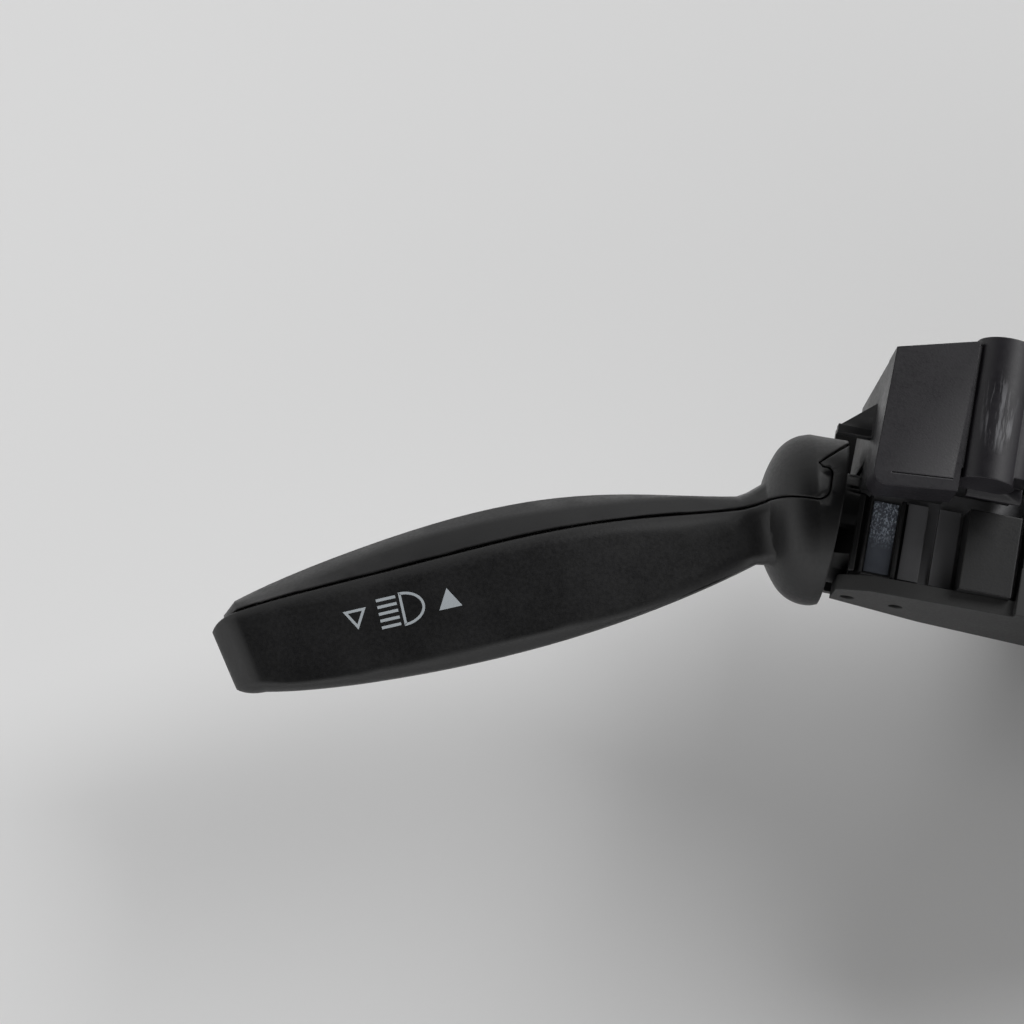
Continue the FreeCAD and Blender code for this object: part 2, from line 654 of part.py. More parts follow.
def make_lid(side):
    """The module's lid: an overhanging cap, a V groove, a wide rounded cable ridge and a front ledge."""
    sign = "-" if side == LEFT else ""
    body = new_body(f"lid_{side}")
    cap = sketch(body, f"lid_cap_{side}", "XY_Plane", "module_rim")
    draw(cap, [(f"{sign}(lid_split + 0.3)", "lid_front_inner"),
               (f"{sign}(module_outer - lid_corner)", "lid_front_outer + 0.2"),
               (f"{sign}(module_outer + 0.2)", "lid_front_outer + lid_corner",
                f"{sign}(module_outer - 0.5)", "lid_front_outer + 0.9"),
               (f"{sign}(module_outer - 0.3)", "module_back_outer"),
               (f"{sign}(lid_split + 0.3)", "module_back_inner")])
    pad(body, cap, "lid_top - module_rim")
    lower = sketch(body, f"lid_lower_{side}", "XY_Plane", "module_rim")
    draw(lower, [(f"{sign}module_inner", "module_front + 2.2"), (f"{sign}(lid_split + 1)", "module_front + 2.2"),
                 (f"{sign}(lid_split + 1)", "module_back_inner - 0.6"),
                 (f"{sign}module_inner", "module_back_inner - 0.6")])
    pad(body, lower, "lid_top - lower_drop - module_rim")
    ridge = sketch(body, f"lid_ridge_{side}", "XZ_Plane", "-ridge_front")
    centre = f"{sign}(lid_split - ridge_half_width - 0.2)"
    circle(ridge, centre, "lid_top - ridge_radius + ridge_rise", "ridge_radius")
    pad(body, ridge, "ridge_back - ridge_front", back=True)
    ledge = sketch(body, f"lid_ledge_{side}", "XY_Plane", "ledge_top")
    draw(ledge, [(f"{sign}module_inner", "ledge_front"), (f"{sign}(lid_split - 2.5)", "ledge_front"),
                 (f"{sign}(lid_split - 2.5)", "module_front + 3"), (f"{sign}module_inner", "module_front + 3")])
    pad(body, ledge, "ledge_top - module_rim", back=True)
    line = sketch(body, f"lid_line_{side}", "XY_Plane", "lid_top")
    draw(line, [(f"{sign}(lid_split + 1.5)", "lid_front_inner + 2.0"),
                (f"{sign}(module_outer - 3)", "lid_front_outer + 2.6"),
                (f"{sign}(module_outer - 3)", "lid_front_outer + 2.8"),
                (f"{sign}(lid_split + 1.5)", "lid_front_inner + 2.2")])
    pocket(body, line, "0.2")
    node(f"{side}_module_lid", body)


# Lever mechanism

def make_cradle(side):
    """The cradle that turns about an axis parallel to the column and holds the lever's own pivot."""
    reach = ("pivot_out - cradle_half_length", "pivot_out + cradle_half_length")
    front = "plate_thick + case_wall + cradle_side_gap"
    back = "plate_thick + case_depth - case_wall - cradle_side_gap"
    frame = side_block(f"cradle_frame_{side}", side, reach, (front, back),
                       ("pivot_level - cradle_half_height", "pivot_level + cradle_half_height"))
    window = side_block(f"cradle_window_{side}", side,
                        ("pivot_out - cradle_half_length - 1", "pivot_out + cradle_half_length + 1"),
                        (f"{front} + cradle_cheek", f"{back} - cradle_cheek"),
                        ("pivot_level - cradle_half_height + cradle_plate",
                         "pivot_level + cradle_half_height - cradle_plate"))
    beam_holes = rod(f"cradle_beam_holes_{side}", "z", "beam_pin_radius + pin_clearance",
                     "2 * cradle_half_height + 2", across(side, "pivot_out"), "pivot_forward",
                     "pivot_level - cradle_half_height - 1")
    pins = [rod(f"cradle_pin_front_{side}", "y", "turn_pin_radius", "case_wall + cradle_side_gap - 0.2 + 1",
                across(side, "pivot_out"), "plate_thick + 0.2", "pivot_level"),
            rod(f"cradle_pin_back_{side}", "y", "turn_pin_radius", "case_wall + cradle_side_gap - 0.2 + 1",
                across(side, "pivot_out"), f"{back} - 1", "pivot_level")]
    finger = side_block(f"cradle_finger_{side}", side,
                        ("pivot_out - cradle_half_length - 5", "pivot_out - cradle_half_length + 1"),
                        (front, f"{front} + 1.8"),
                        ("pivot_level - finger_height / 2", "pivot_level + finger_height / 2"))
    hollow = cut(f"cradle_hollow_{side}", frame, [window, beam_holes])
    node(f"{side}_cradle", fuse(f"cradle_whole_{side}", [hollow, *pins, finger]))


def make_slider(side):
    """The contact carriage that the cradle's finger moves up and down."""
    front = "plate_thick + case_wall + cradle_side_gap"
    carriage = side_block(f"slider_block_{side}", side,
                          ("case_inner + case_wall + play", "pivot_out - cradle_half_length - 1.4"),
                          (f"{front} - 0.3", f"{front} - 0.3 + slider_thick"),
                          ("pivot_level - slider_height / 2", "pivot_level + slider_height / 2"))
    slot = side_block(f"slider_slot_{side}", side,
                      ("pivot_out - cradle_half_length - 5 - 0.5", "pivot_out"), (f"{front} - 1", f"{front} + 4"),
                      ("pivot_level - finger_height / 2 - 0.5", "pivot_level + finger_height / 2 + 0.5"))
    node(f"{side}_contact_slider", cut(f"slider_cut_{side}", carriage, [slot]))


def stalk_point(side, along, off):
    """A point on the stalk's own axes, as X and Y expressions."""
    c = "cos(sweep_angle)"
    q = "sin(sweep_angle)"
    x = across(side, f"neck_out + ({along}) * {c} + ({off}) * {q}")
    y = f"neck_forward - ({along}) * {q} + ({off}) * {c}"
    return x, y


def make_core(side):
    """The lever's core: pivot hub and pins, detent bore, and the blade that carries the stalk shells."""
    sign = "-" if side == LEFT else ""
    body = new_body(f"core_{side}")
    blade = sketch(body, f"core_blade_{side}", "XY_Plane", "pivot_level")
    draw(blade, [(f"{sign}(pivot_out - core_tail)", "pivot_forward - 3.2"),
                 (f"{sign}(pivot_out - core_tail)", "pivot_forward + 3.2"),
                 (f"{sign}(neck_out - mouth_in - 2)", "pivot_forward + 3.2"),
                 stalk_point(side, "-bell_centre + 1", "core_rear"),
                 stalk_point(side, "core_reach", "core_rear"),
                 stalk_point(side, "core_reach", "-core_front"),
                 stalk_point(side, "-bell_centre + 1", "-core_front"),
                 (f"{sign}(neck_out - mouth_in - 2)", "pivot_forward - 3.2")])
    pad(body, blade, "2 * core_half_height", middle=True)
    hub = sketch(body, f"core_hub_{side}", "XY_Plane", "pivot_level")
    circle(hub, f"{sign}pivot_out", "pivot_forward", "hub_radius")
    pad(body, hub, "2 * (cradle_half_height - cradle_plate - play)", middle=True)
    pins = sketch(body, f"core_pins_{side}", "XY_Plane", "pivot_level")
    circle(pins, f"{sign}pivot_out", "pivot_forward", "beam_pin_radius")
    pad(body, pins, "2 * cradle_half_height", middle=True)
    bore = sketch(body, f"core_bore_{side}", "YZ_Plane", f"{sign}(pivot_out - core_tail)")
    circle(bore, "pivot_forward", "pivot_level", "plunger_radius + pin_clearance")
    pocket(body, bore, "plunger_length + spring_length + play - (plunger_reach - core_tail)",
           back=side == RIGHT)
    node(f"{side}_lever_core", body)


def make_detent(side):
    """The sprung plunger in the core's end, its spring, and the notched track that it rides on."""
    tip = "pivot_out - plunger_reach"
    start = f"{tip} + plunger_radius"
    x = across(side, start) if side == RIGHT else across(side, f"{tip} + plunger_length")
    shank = rod(f"plunger_shank_{side}", "x", "plunger_radius", "plunger_length - plunger_radius",
                x, "pivot_forward", "pivot_level")
    nose = ball(f"plunger_nose_{side}", "plunger_radius", across(side, start), "pivot_forward", "pivot_level")
    node(f"{side}_detent_plunger", fuse(f"plunger_whole_{side}", [shank, nose]))

    coil = doc.addObject("Part::Feature", f"coil_{side}")
    turns = 4
    wire_radius, radius = size("spring_wire"), size("spring_coil_radius")
    length = size("spring_length") - 2 * wire_radius
    path = Part.makeHelix(length / turns, length, radius)
    profile = Part.Wire(Part.makeCircle(wire_radius, Vector(radius, 0, 0), Vector(0, 1, 0)))
    coil.Shape = Part.Wire(path).makePipeShell([profile], True, True)
    seat = size(f"{tip} + plunger_length") + wire_radius + 0.05
    turn = Rotation(Vector(0, 1, 0), 90 if side == RIGHT else -90)
    coil.Placement = Placement(Vector(seat if side == RIGHT else -seat, size("pivot_forward"),
                                      size("pivot_level")), turn)
    node(f"{side}_detent_spring", coil)

    block_part = side_block(f"track_block_{side}", side, ("case_inner + case_wall", "pivot_out - core_tail - 3.2"),
                            ("pivot_forward - 4.4", "pivot_forward + 5.5"),
                            ("pivot_level - 7.4", "pivot_level + 7.4"))
    dish = ball(f"track_dish_{side}", "plunger_reach + detent_gap", across(side, "pivot_out"),
                "pivot_forward", "pivot_level")
    notches = []
    for index, step in enumerate((-1, 0, 1)):
        reach = "(plunger_reach + detent_gap + detent_notch_depth - detent_notch_radius)"
        angle = f"({step} * turn_travel)"
        notches.append(rod(f"track_notch_{side}_{index}", "y", "detent_notch_radius", "14",
                           across(side, f"pivot_out - {reach} * cos({angle})"), "pivot_forward - 7",
                           f"pivot_level + {reach} * sin({angle})"))
    node(f"{side}_detent_track", cut(f"track_cut_{side}", block_part, [dish, *notches]))


# Stalk shells

# Corners of the two shells across and above the lever's axis, each with the width of its edge break.
FRONT_PROFILE = (("front_low", "-{edge}", "front_break"), ("front", "{edge}", "front_break"),
                 ("face_front", "{high} - {drop}", "face_break"), ("face_rear", "{high}", "ridge_break"),
                 ("seam_front", "{high} - {drop}", "seam_break"),
                 ("seam_front", "-({high} - {drop})", "seam_break"), ("face_rear", "-{high}", "ridge_break"),
                 ("face_low", "-({high} - {drop})", "face_break"))
REAR_PROFILE = (("seam_rear", "{high} - {drop} - 0.2", "seam_break"),
                ("facet", "({high} - {drop}) * 0.62", "ridge_break"), ("rear", "-0.4", "face_break"),
                ("facet", "-({high} - {drop}) * 0.66", "ridge_break"),
                ("seam_rear", "-({high} - {drop} - 0.2)", "seam_break"))


def station_corners(side, station, profile):
    """One cross-section of a stalk shell, as numeric corners with every edge broken."""
    flip = -1 if side == LEFT else 1
    places = {key: size(f"{station}_{key}") for key in STATION_KEYS}
    places["front_low"] = places["front"] + size("under_taper") * places["edge"]
    places["face_low"] = places["face_front"] + size("under_taper") * places["edge"]
    places["seam_front"] = places["seam"] - size("seam_gap") / 2
    places["seam_rear"] = places["seam"] + size("seam_gap") / 2
    points = [Vector(flip * places[key], size(height.format(**places)), 0) for key, height, _ in profile]
    corners = []
    for index, point in enumerate(points):
        reach = size(profile[index][2]) * places["soft"]
        for neighbour in (points[index - 1], points[(index + 1) % len(points)]):
            place = point + (neighbour - point).normalize() * reach
            corners.append((place.x, place.y))
    return corners


def loft(body, side, name, stations, profile, ruled):
    """A loft through the named stations of the stalk."""
    drawings = []
    for station in stations:
        sign = 1 if side == LEFT else -1
        drawing = sketch(body, f"{name}_{side}_{station}", "XY_Plane", f"{station}_at",
                         lean=sign * size(f"{station}_lean"))
        lay(drawing, station_corners(side, station, profile))
        drawings.append(drawing)
    feature = body.newObject("PartDesign::AdditiveLoft", f"{name}_{side}_loft")
    feature.Profile = drawings[0]
    feature.Sections = drawings[1:]
    feature.Ruled = ruled
    doc.recompute()
    return feature


def place_stalk(body, side):
    """Stand a stalk body's Z axis along the lever, with its Y axis up."""
    sweep = math.radians(size("sweep_angle"))
    sign = -1 if side == LEFT else 1
    along = Vector(sign * math.cos(sweep), -math.sin(sweep), 0)
    up = Vector(0, 0, 1)
    turn = Rotation(up.cross(along), up, along, "ZYX")
    neck = Vector(sign * size("neck_out"), size("neck_forward"), size("pivot_level"))
    body.Placement = Placement(neck, turn)


def bell(body, side, name):
    """The dome at the stalk's root: a hollow oval cap with a short, slightly drawn-in skirt."""
    sign = 1 if side == LEFT else -1
    dome = sketch(body, f"{name}_dome_{side}", "XZ_Plane", "0", ("0", "-bell_centre"), sign * size("bell_tilt"))
    radius, depth, wall = size("bell_radius"), size("bell_depth"), size("bell_wall")
    skirt, taper = size("bell_skirt"), size("bell_skirt_taper")
    spread = math.hypot(radius, depth)
    rim = (spread ** 2 - (radius - depth) * spread) / (2 * radius)
    crown = (spread ** 2 + (radius - depth) * spread) / (2 * depth)
    rim_centre, crown_centre = Vector(radius - rim, 0, 0), Vector(0, depth - crown, 0)
    meet = math.atan2(crown - depth, radius - rim)

    def on(centre, reach, angle):
        return centre + Vector(reach * math.cos(angle), reach * math.sin(angle), 0)

    for inset in (0, wall):
        dome.addGeometry(Part.Arc(*(on(rim_centre, rim - inset, meet * share) for share in (0, 0.5, 1))))
        dome.addGeometry(Part.Arc(*(on(crown_centre, crown - inset, meet + (math.pi / 2 - meet) * share)
                                    for share in (0, 0.5, 1))))
    outline = [Vector(0, depth, 0), Vector(0, depth - wall, 0)], [
        Vector(radius - wall, 0, 0), Vector(radius - wall - taper, -skirt, 0),
        Vector(radius - taper, -skirt, 0), Vector(radius, 0, 0)]
    for corners in outline:
        for start, end in zip(corners, corners[1:]):
            dome.addGeometry(Part.LineSegment(start, end))
    revolve(body, dome)


def trim_plane(body, side, name):
    """A sketch in the plane of both pivots, whose Y axis points straight outboard from the neck."""
    sign = 1 if side == LEFT else -1
    return sketch(body, f"{name}_{side}", "XZ_Plane", "0", turn=sign * size("sweep_angle"))


def outboard(side, out, forward):
    """Outboard and forward distances in a trim sketch's own axes."""
    flip = "-1" if side == LEFT else "1"
    return f"{flip} * (({forward}) - neck_forward)", f"({out}) - neck_out"


def shell_cut(side, body, name, shift, reach):
    """Cut a shell's bell along the seam, which is moved by shift, on the side that reach points to.

    The seam runs beside the neck, turns a rounded corner down the back of the bell, steps out at a notch
    and leaves through the mouth.
    """
    beside = f"neck_forward + (neck_seam + {shift}) / cos(sweep_angle)"
    end, notch, mouth = ("(neck_out - tongue_in)", "(neck_out - notch_in)", "(neck_out - mouth_in)")
    turn = f"tongue_round * 0.29 + {shift} * 0.7"
    corners = [("neck_out + tip_at", f"{beside} - tip_at * tan(sweep_angle)"),
               ("neck_out", beside),
               (f"{end} + tongue_round", f"neck_forward + tongue_side + {shift}"),
               (f"{end} + {shift}", "neck_forward + tongue_side + tongue_round"),
               (f"{end} + {shift}", "neck_forward + tongue_corner - notch_round"),
               (f"{end} + notch_round", f"neck_forward + tongue_corner - {shift}"),
               (f"{notch} - 0.7", f"neck_forward + tongue_corner - {shift}"),
               (f"{notch} + {shift}", "neck_forward + tongue_corner + 0.7"),
               (f"{mouth} + {shift}", f"neck_forward + tongue_exit + 1.4 + {shift}"),
               (f"{mouth} - 30", f"neck_forward + tongue_exit + 1.4 + {shift}"),
               (f"{mouth} - 30", reach), ("neck_out + tip_at", reach)]
    corners = [outboard(side, *corner) for corner in corners]
    corners[3] += outboard(side, f"{end} + {turn}", f"neck_forward + tongue_side + {turn}")
    turn = f"notch_round * 0.29 + {shift} * 0.7"
    corners[5] += outboard(side, f"{end} + {turn}", f"neck_forward + tongue_corner - ({turn})")
    for label, outline in (("seam", corners),
                           ("mouth", [outboard(side, mouth, "-40"), outboard(side, mouth, "60"),
                                      outboard(side, f"{mouth} - 30", "60"), outboard(side, f"{mouth} - 30", "-40")])):
        drawing = trim_plane(body, side, f"{name}_{label}")
        draw(drawing, outline)
        pocket(body, drawing, "4 * bell_radius", middle=True)


def make_front_shell(side):
    """The stalk's front half: icon face, bevels and most of the bell."""
    body = new_body(f"front_{side}")
    place_stalk(body, side)
    bell(body, side, "front")
    loft(body, side, "front_flare", ("root", "collar", "neck"), FRONT_PROFILE, True)
    shell_cut(side, body, "front", "(-seam_gap / 2)", "neck_forward + 2.5 * bell_radius")
    loft(body, side, "front_grip", ("neck", "swell", "waist", "fore", "brow", "shoulder"), FRONT_PROFILE, False)
    loft(body, side, "front_end", ("shoulder", "nose", "tip"), FRONT_PROFILE, False)
    channel = sketch(body, f"front_channel_{side}", "XY_Plane", "-bell_centre + 1")
    flip = "-1" if side == LEFT else "1"
    draw(channel, [(f"{flip} * (core_rear + play)", "core_half_height + play"),
                   (f"{flip} * (core_rear + play)", "-core_half_height - play"),
                   (f"-1 * {flip} * (core_front + play)", "-core_half_height - play"),
                   (f"-1 * {flip} * (core_front + play)", "core_half_height + play")])
    pocket(body, channel, "core_reach + bell_centre - 1 + play", back=True)
    return node(f"{side}_stalk_front_shell", body)


def make_rear_shell(side):
    """The stalk's rear half, with its tongue on the back of the bell."""
    body = new_body(f"rear_{side}")
    place_stalk(body, side)
    bell(body, side, "rear")
    loft(body, side, "rear_flare", ("root", "collar", "neck"), REAR_PROFILE, True)
    shell_cut(side, body, "rear", "(seam_gap / 2)", "neck_forward - 2.5 * bell_radius")
    loft(body, side, "rear_grip", ("neck", "swell", "waist", "fore", "brow", "shoulder"), REAR_PROFILE, False)
    loft(body, side, "rear_end", ("shoulder", "tail"), REAR_PROFILE, True)
    return node(f"{side}_stalk_rear_shell", body)


# Clock spring

def make_clock_spring():
    """The drum on the front plate, its cover, the turning hub with its cam, and the rolled ribbon."""
    body = new_body("stator")
    section = sketch(body, "stator_section", "XY_Plane", "0")
    draw(section, [("drum_bore", "-drum_floor"), ("drum_bore", "0"), ("drum_radius", "0"),
                   ("drum_radius", "-drum_depth"), ("drum_radius - drum_wall", "-drum_depth"),
                   ("drum_radius - drum_wall", "-drum_floor")])
    revolve(body, section)
    for index, angle in enumerate(SCREW_ANGLES):
        x, z = screw_place(angle, "screw_circle")
        boss = sketch(body, f"stator_boss_{index}", "XZ_Plane", "0")
        circle(boss, x, z, "screw_head_radius + 1.2")
        pad(body, boss, "drum_depth")
        for name, radius, depth in (("well", "screw_head_radius + play", "screw_sink"),
                                    ("hole", "screw_radius + pin_clearance", "drum_depth + 1")):
            drawing = sketch(body, f"stator_{name}_{index}", "XZ_Plane", "drum_depth")
            circle(drawing, x, z, radius)
            pocket(body, drawing, depth)
    node("clockspring_stator", body)

    ring = rod("cover_disc", "y", "drum_radius", "cover_thick", "0", "-drum_depth - cover_thick", "0")
    opening = rod("cover_opening_tool", "y", "cover_opening", "cover_thick + 2",
                  "0", "-drum_depth - cover_thick - 1", "0")
    wells = []
    for index, angle in enumerate(SCREW_ANGLES):
        x, z = screw_place(angle, "screw_circle")
        wells.append(rod(f"cover_well_{index}", "y", "screw_head_radius + play", "cover_thick + 2",
                         x, "-drum_depth - cover_thick - 1", z))
    node("clockspring_cover", cut("cover_ring", ring, [opening, *wells]))

    hub = new_body("rotor")
    section = sketch(hub, "rotor_section", "XY_Plane", "0")
    front = "-(drum_depth + cover_thick + face_rise)"
    draw(section, [("hub_bore", front), ("hub_bore", "0"), ("hub_bore + hub_wall", "0"),
                   ("hub_bore + hub_wall", f"{front} + face_thick"),
                   ("face_radius", f"{front} + face_thick"), ("face_radius", front)])
    revolve(hub, section)
    for index, sign in enumerate(("-", "")):
        pin = sketch(hub, f"rotor_pin_{index}", "XZ_Plane", f"-({front}) - 1")
        circle(pin, f"{sign}drive_pin_circle", "0", "drive_pin_radius")
        pad(hub, pin, "drive_pin_length + 1")
    node("clockspring_rotor", hub)

    cam = new_body("cam")
    ring = sketch(cam, "cam_ring", "XZ_Plane", "0")
    circle(ring, "0", "0", "cam_radius")
    circle(ring, "0", "0", "hub_bore")
    pad(cam, ring, "cam_length", back=True)
    lobe = sketch(cam, "cam_lobe_outline", "XZ_Plane", "-cam_length / 2")
    draw(lobe, [("-4", "cam_radius - 1.5"), ("-1.5", "cam_radius + cam_lobe"), ("1.5", "cam_radius + cam_lobe"),
                ("4", "cam_radius - 1.5")])
    added = pad(cam, lobe, "cam_length / 2", back=True)
    pattern = cam.newObject("PartDesign::PolarPattern", "cam_lobes")
    pattern.Originals = [added]
    pattern.Axis = (ring, ["N_Axis"])
    pattern.Angle = 360
    pattern.Occurrences = 2
    cam.Tip = pattern
    doc.recompute()
    node("cancel_cam", cam)

    ribbon = doc.addObject("Part::Feature", "ribbon")
    ribbon.Shape = spiral_band(size("ribbon_start"), size("ribbon_pitch"), size("ribbon_turns"),
                               size("ribbon_thick"), size("ribbon_width"))
    ribbon.Placement = Placement(Vector(0, -size("drum_floor") - size("play") - size("ribbon_width"), 0), Rotation())
    node("clockspring_ribbon", ribbon)

    plug = side_block("rotor_plug_shell", RIGHT, ("-7", "7"), (f"{front} - 8", front),
                      ("hub_bore + 2.5", "face_radius - 1.5"))
    socket = side_block("rotor_plug_socket", RIGHT, ("-5.6", "5.6"), (f"{front} - 9", f"{front} - 1.5"),
                        ("hub_bore + 3.9", "face_radius - 2.9"))
    node("rotor_plug", cut("rotor_plug_cut", plug, [socket]))


def spiral_band(start, pitch, turns, thick, width):
    """A flat band wound in a spiral of half circles about the column axis."""

    def side_edges(inset):
        edges = []
        for half in range(round(2 * turns)):
            up = 1 if half % 2 == 0 else -1
            centre = -up * pitch / 4
            radius = start + pitch / 4 + half * pitch / 2 + inset
            ends = [Vector(centre + up * reach, 0, 0) for reach in (radius, -radius)]
            edges.append(Part.Arc(ends[0], Vector(centre, 0, up * radius), ends[1]).toShape())
        return edges, Vector(start + inset, 0, 0), ends[1]

    inner, inner_start, inner_end = side_edges(0)
    outer, outer_start, outer_end = side_edges(thick)
    ends = [Part.makeLine(inner_start, outer_start), Part.makeLine(inner_end, outer_end)]
    outline = Part.Wire(Part.__sortEdges__([*inner, ends[1], *outer, ends[0]]))
    return Part.Face(outline).extrude(Vector(0, width, 0))


# Lower electronics

def make_bay():
    """The box below the collar: case, lid, board, plug shell and contact pins."""
    outer_x = ("-bay_half_width", "bay_half_width")
    front = "plate_thick"
    shell = block("bay_shell", outer_x, (front, "bay_back"), ("foot_level", "bay_top - bay_lid"))
    hollow = block("bay_hollow", ("-bay_half_width + bay_wall", "bay_half_width - bay_wall"),
                   (f"{front} + bay_wall", "bay_back - bay_wall"), ("foot_level + bay_wall", "bay_top"))
    mouth = block("bay_mouth", ("-plug_half_width", "plug_half_width"), ("bay_back - bay_wall - 1", "bay_back + 1"),
                  ("plug_bottom", "plug_top"))
    node("electronics_case", cut("bay_case", shell, [hollow, mouth]))
    lid = block("bay_lid_plate", outer_x, (front, "bay_back"), ("bay_top - bay_lid", "bay_top"))
    node("electronics_lid", lid)
    back = "bay_back + 2"
    plug = block("plug_shell", ("-plug_half_width", "plug_half_width"), (f"{back} - plug_depth", back),
                 ("plug_bottom", "plug_top"))
    rooms = []
    for index, (low, high) in enumerate((("-plug_half_width + plug_wall", "-plug_wall / 2"),
                                         ("plug_wall / 2", "plug_half_width - plug_wall"))):
        rooms.append(block(f"plug_room_{index}", (low, high), (f"{back} - plug_depth + 3", f"{back} + 1"),
                           ("plug_bottom + plug_wall", "plug_top - plug_wall")))
    holes = []
    pins = []
    count = int(size("contact_count"))
    for index in range(count):
        if index == count // 2:
            continue
        middle = f"(({index} - (contact_count - 1) / 2) * contact_pitch)"
        span = (f"{middle} - contact_size / 2", f"{middle} + contact_size / 2")
        level = ("(plug_bottom + plug_top) / 2 - contact_size / 2",
                 "(plug_bottom + plug_top) / 2 + contact_size / 2")
        holes.append(block(f"plug_hole_{index}", span, (f"{back} - plug_depth - 1", f"{back} - plug_depth + 4"),
                           level))
        pins.append(block(f"contact_{index}", span, (f"{back} - plug_depth - 3", f"{back} - 4"), level))
    node("main_connector", cut("plug_cut", plug, [*rooms, *holes]))
    node("connector_pins", gather("pins", pins))
    node("main_board", block("board_plate", ("-bay_half_width + bay_wall", "bay_half_width - bay_wall"),
                             (f"{front} + bay_wall", f"{back} - plug_depth - 1"),
                             ("(plug_bottom + plug_top) / 2 - contact_size / 2 - board_thick",
                              "(plug_bottom + plug_top) / 2 - contact_size / 2")))


def screw(name, x, z, face, length):
    """A pan-head screw along +Y whose head rests on the plane Y = face."""
    head = rod(f"{name}_head", "y", "screw_head_radius", "screw_head_height", x,
               f"({face}) - screw_head_height", z)
    shank = rod(f"{name}_shank", "y", "screw_radius - pin_clearance", length, x, f"{face}", z)
    recess = block(f"{name}_recess", (f"({x}) - 1.6", f"({x}) + 1.6"),
                   (f"({face}) - screw_head_height - 1", f"({face}) - screw_head_height + 1.2"),
                   (f"({z}) - 0.5", f"({z}) + 0.5"))
    return cut(f"{name}_cut", fuse(f"{name}_whole", [head, shank]), [recess])


def make_screws():
    """The three screws that hold the clock spring to the carrier."""
    screws = []
    for index, angle in enumerate(SCREW_ANGLES):
        x, z = screw_place(angle, "screw_circle")
        face = "drum_depth - screw_sink"
        screws.append(screw(f"drum_screw_{index}", x, z, f"-({face})", f"{face} + plate_thick"))
    node("drum_screws", gather("drum_screw_set", screws))


make_carrier()
make_clamp()
make_clock_spring()
make_bay()
make_screws()
for side in (LEFT, RIGHT):
    make_switch_case(side)
    make_module(side)
    make_lid(side)
    make_cradle(side)
    make_slider(side)
    make_core(side)
    make_detent(side)
    make_front_shell(side)
    make_rear_shell(side)
doc.recompute()

for feature in doc.Objects:
    if "Invalid" in feature.State or "Error" in feature.State:
        raise RuntimeError(f"{feature.Label} failed: {feature.State}")
for feature in nodes:
    if feature.Shape.isNull() or not feature.Shape.isValid():
        raise RuntimeError(f"{feature.Label} has no valid shape")

os.makedirs("parts", exist_ok=True)
for feature in nodes:
    feature.Shape.exportStep(f"parts/{feature.Label}.step")
    print(f"{feature.Label}: {len(feature.Shape.Solids)} solids, {feature.Shape.Volume:.0f} mm3")
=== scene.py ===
"""Steering column switch assembly: finishes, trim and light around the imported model.

Lengths are in metres. +X is the driver's right, +Y points forward along the column, +Z is up, and the
origin is on the column axis, at the driver's side of the carrier's front plate.
"""

import json
import logging
import math
from dataclasses import dataclass
from enum import Enum

import bpy
from mathutils import Matrix, Vector

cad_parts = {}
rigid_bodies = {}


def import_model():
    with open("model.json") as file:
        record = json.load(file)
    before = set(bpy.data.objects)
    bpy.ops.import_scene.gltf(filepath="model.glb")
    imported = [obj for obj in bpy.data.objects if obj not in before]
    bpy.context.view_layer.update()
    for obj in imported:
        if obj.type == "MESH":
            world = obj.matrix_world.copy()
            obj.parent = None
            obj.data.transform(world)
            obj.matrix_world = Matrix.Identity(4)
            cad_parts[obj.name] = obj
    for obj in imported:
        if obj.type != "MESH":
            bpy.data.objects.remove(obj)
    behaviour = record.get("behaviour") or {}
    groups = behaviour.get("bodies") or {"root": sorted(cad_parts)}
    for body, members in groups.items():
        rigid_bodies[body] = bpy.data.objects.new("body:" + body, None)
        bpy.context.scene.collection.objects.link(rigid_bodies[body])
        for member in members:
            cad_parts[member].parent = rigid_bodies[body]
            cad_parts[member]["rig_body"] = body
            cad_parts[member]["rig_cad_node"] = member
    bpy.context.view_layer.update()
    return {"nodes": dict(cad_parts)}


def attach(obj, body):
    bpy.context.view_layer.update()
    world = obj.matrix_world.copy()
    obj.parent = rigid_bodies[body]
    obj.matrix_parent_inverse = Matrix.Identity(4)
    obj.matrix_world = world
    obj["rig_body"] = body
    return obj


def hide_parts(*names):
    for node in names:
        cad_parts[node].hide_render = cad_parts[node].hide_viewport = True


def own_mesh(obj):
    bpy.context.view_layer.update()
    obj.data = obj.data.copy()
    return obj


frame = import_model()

LOG = logging.getLogger("column_switch")
MM = 0.001
FLOOR_LEVEL = -0.050
NECK = Vector((0.1001, 0.0103, 0.006))
SWEEP = math.radians(24.2)
MERGE_REACH = 0.002 * MM
FLAT_ANGLE = math.radians(0.3)
LEVEL_SLOPE = 0.99
SHEET_RISE = 20 * MM
PRINT_RISE = 0.02 * MM
BEVEL_SAMPLES = 6


class Side(Enum):
    """The two levers, as the driver sees them."""

    LEFT = "left"
    RIGHT = "right"

    @property
    def sign(self) -> float:
        """-1 on the left and 1 on the right."""
        return -1.0 if self is Side.LEFT else 1.0


def grey(level: int, blue: int = 0) -> tuple[float, float, float]:
    """A linear colour for an sRGB grey.

    Args:
        level: the sRGB level, 0 to 255.
        blue: how much higher the blue channel lies.

    Returns:
        The colour as linear red, green and blue.
    """
    return linear(level, level, level + blue)


def linear(red: float, green: float, blue: float) -> tuple[float, float, float]:
    """A linear colour for sRGB levels of 0 to 255.

    Args:
        red: red level.
        green: green level.
        blue: blue level.

    Returns:
        The colour as linear red, green and blue.
    """
    def channel(value: float) -> float:
        """One channel made linear."""
        share = value / 255
        return share / 12.92 if share <= 0.04045 else ((share + 0.055) / 1.055) ** 2.4

    return channel(red), channel(green), channel(blue)


